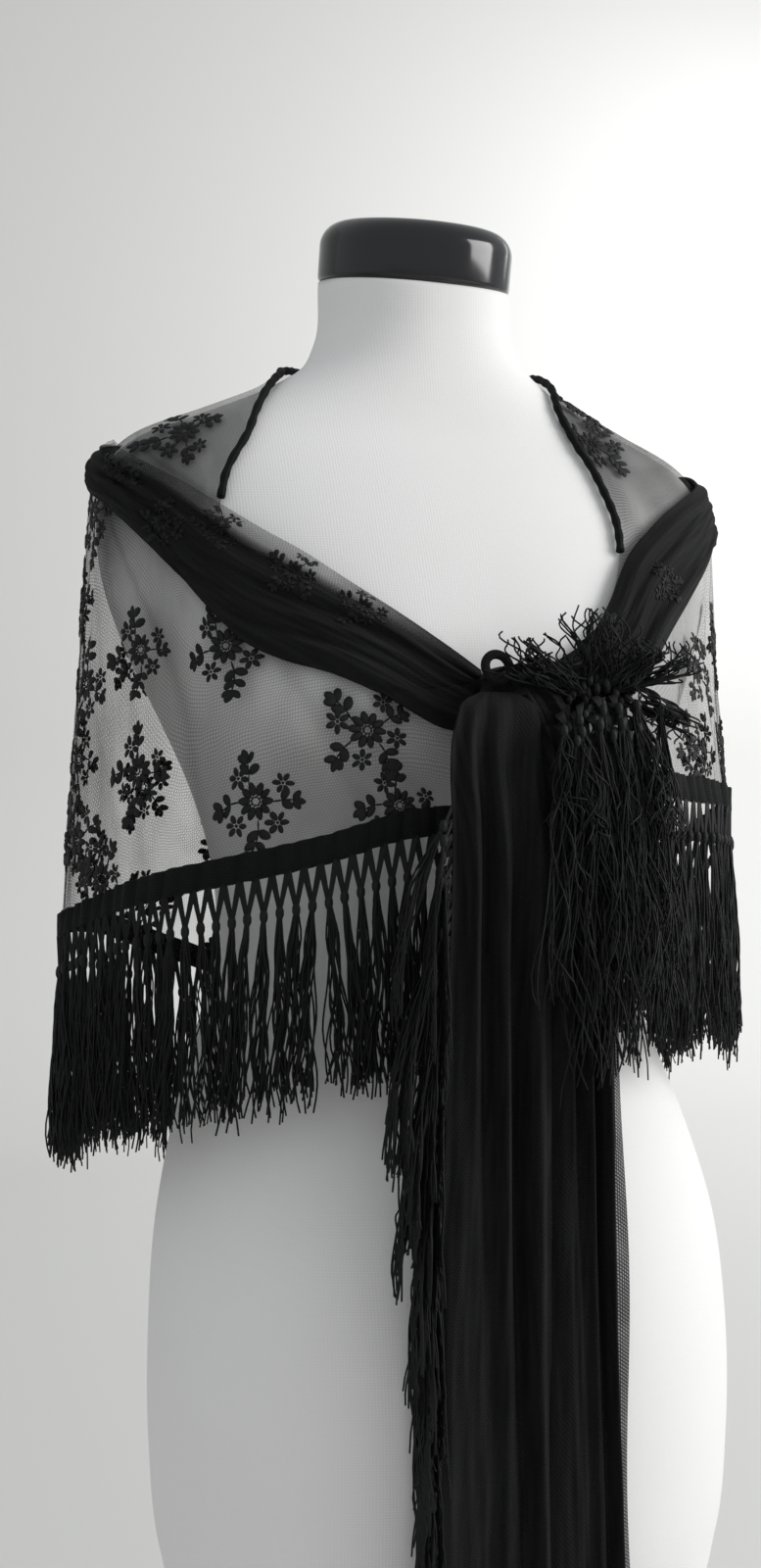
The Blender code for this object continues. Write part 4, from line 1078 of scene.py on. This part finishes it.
sheer_left = through(sheer_height, BACK_TAIL[::-1, 0], BACK_TAIL[::-1, 2]) - 0.004
sheer_wide = 0.0085 + 0.0012 * np.sin(30 * sheer_height)
sheer_y = -0.1755 + 0.0035 * sheer_across**2 + 0.0016 * np.sin(24 * sheer_height) * sheer_across
sheer = np.stack([sheer_left + sheer_wide * sheer_across, sheer_y, sheer_height + 0 * sheer_across], -1)
sheer_edge = build("tail_sheer_edge", sheer, grid_faces(SHEER_ROWS, SHEER_COLUMNS), net, flat_lengths(sheer))
point_values(sheer_edge, "layers", np.full((SHEER_ROWS, SHEER_COLUMNS), SHEER_LAYERS))
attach(sheer_edge, "root")

# Tail fringe
# The same bunches hang from the outer side of the front tail, one below the other and a little apart, and from
# the end of each tail.
SIDE_PITCH = 0.0070
SIDE_FALL = 0.104
END_FALL = 0.097
side_line = front_face[:, 0][front_face[:, 0, 2] < 0.705] + np.array((0, 0.0007, 0))
side_length = running(side_line)
bunches = int(round(side_length[-1] / SIDE_PITCH))
roots = np.linspace(0, side_length[-1], bunches + 1)
middle = 0.5 * (roots[1:] + roots[:-1])
side_knots = along_line(side_line, side_length, middle) + np.array((-0.0045, -0.001, -0.007))
side_knots += random.uniform(-0.002, 0.002, side_knots.shape)
side_fall = np.zeros((bunches, 3))
side_reach = np.interp(side_knots[:, 2], (0.46, 0.51, 0.57, 0.64, 0.70), (0.011, 0.014, 0.026, 0.033, 0.030))
side_fall[:, 0] = 0.003 - side_reach * random.uniform(0, 1, bunches) ** 0.8
side_fall[:, 1] = random.uniform(-0.010, 0.002, bunches)
side_fall[:, 2] = -SIDE_FALL * random.uniform(0.75, 1.05, bunches)
side_fringe = hanging_threads(
    "front_tail_side_threads",
    along_line(side_line, side_length, roots[:-1]),
    along_line(side_line, side_length, roots[1:]),
    side_knots,
    side_fall,
    AHEAD,
    curl=0.0052,
    spread=0.0080,
    replaced="tail_front_side_fringe",
    threads=16,
)
for name, face, bunches, node in (
    ("front_tail_end_threads", front_face, 6, "tail_front_end_fringe"),
    ("back_tail_end_threads", back_face, 5, "tail_back_end_fringe"),
):
    x = np.linspace(face[-1, 0, 0] + 0.002, face[-1, -1, 0] - 0.002, bunches + 1)
    roots = np.stack([x, 0 * x + face[-1, :, 1].mean(), 0 * x + face[-1, 0, 2] + 0.001], -1)
    knots = 0.5 * (roots[1:] + roots[:-1]) - np.array((0, 0, KNOT_DROP))
    fall = np.stack([0 * knots[:, 0], 0 * knots[:, 0], -END_FALL * random.uniform(0.94, 1.04, bunches)], -1)
    made = hanging_threads(
        name, roots[:-1], roots[1:], knots, fall, AHEAD, curl=0.0025, spread=0.0022, replaced=node
    )

# Knot's bunch of fringe
# Part of the fringed side is caught in the knot. Its threads fall in a loose curly bunch beside the tails, and
# short ends stand out in a tuft above it.
BUNCH_ROOTS = np.array(
    ((0.010, -0.1724, 0.7440), (0.028, -0.1718, 0.7530), (0.046, -0.1680, 0.7570), (0.068, -0.1600, 0.7540))
)
bunch_length = running(BUNCH_ROOTS)
BUNCH_FALL = 0.160
bunches = 34
roots = np.linspace(0, bunch_length[-1], bunches + 1)
left_roots = along_line(BUNCH_ROOTS, bunch_length, roots[:-1])
right_roots = along_line(BUNCH_ROOTS, bunch_length, roots[1:])
jitter = random.uniform(-0.007, 0.007, left_roots.shape) * (0.4, 0.3, 1)
left_roots, right_roots = left_roots + jitter, right_roots + jitter
knots = 0.5 * (left_roots + right_roots) + np.array((0, -0.004, -0.008))
knots += random.uniform(-0.005, 0.005, knots.shape)
fall = np.zeros((bunches, 3))
fall[:, 0] = np.linspace(-0.004, 0.010, bunches) + random.uniform(-0.010, 0.010, bunches)
fall[:, 1] = random.uniform(-0.014, 0.004, bunches)
fall[:, 2] = -BUNCH_FALL * random.uniform(0.25, 1.05, bunches)
hanging_threads(
    "knot_threads",
    left_roots,
    right_roots,
    knots,
    fall,
    AHEAD,
    curl=0.0058,
    spread=0.0080,
    replaced="knot_fringe",
    threads=14,
)

tufts = 30
tuft_azimuth = np.linspace(-12.5, -24.5, tufts + 1)
tuft_line = on_cloth(tuft_azimuth, 0.757 + 0 * tuft_azimuth, 0.0196 + 0 * tuft_azimuth)
tuft_knots = 0.5 * (tuft_line[1:] + tuft_line[:-1]) + np.array((0, -0.002, 0))
tuft_knots += random.uniform(-0.007, 0.007, (tufts, 3)) * (1, 0.4, 1)
lean = np.radians(np.linspace(-80, 125, tufts) + random.uniform(-28, 28, tufts))
reach = random.uniform(0.022, 0.044, tufts)
fall = np.stack([reach * np.sin(lean), random.uniform(-0.014, 0.0, tufts), reach * np.cos(lean)], -1)
hanging_threads(
    "tuft_threads",
    tuft_line[:-1],
    tuft_line[1:],
    tuft_knots,
    fall,
    AHEAD,
    curl=0.0034,
    spread=0.0075,
    replaced="knot_tuft",
    threads=8,
)
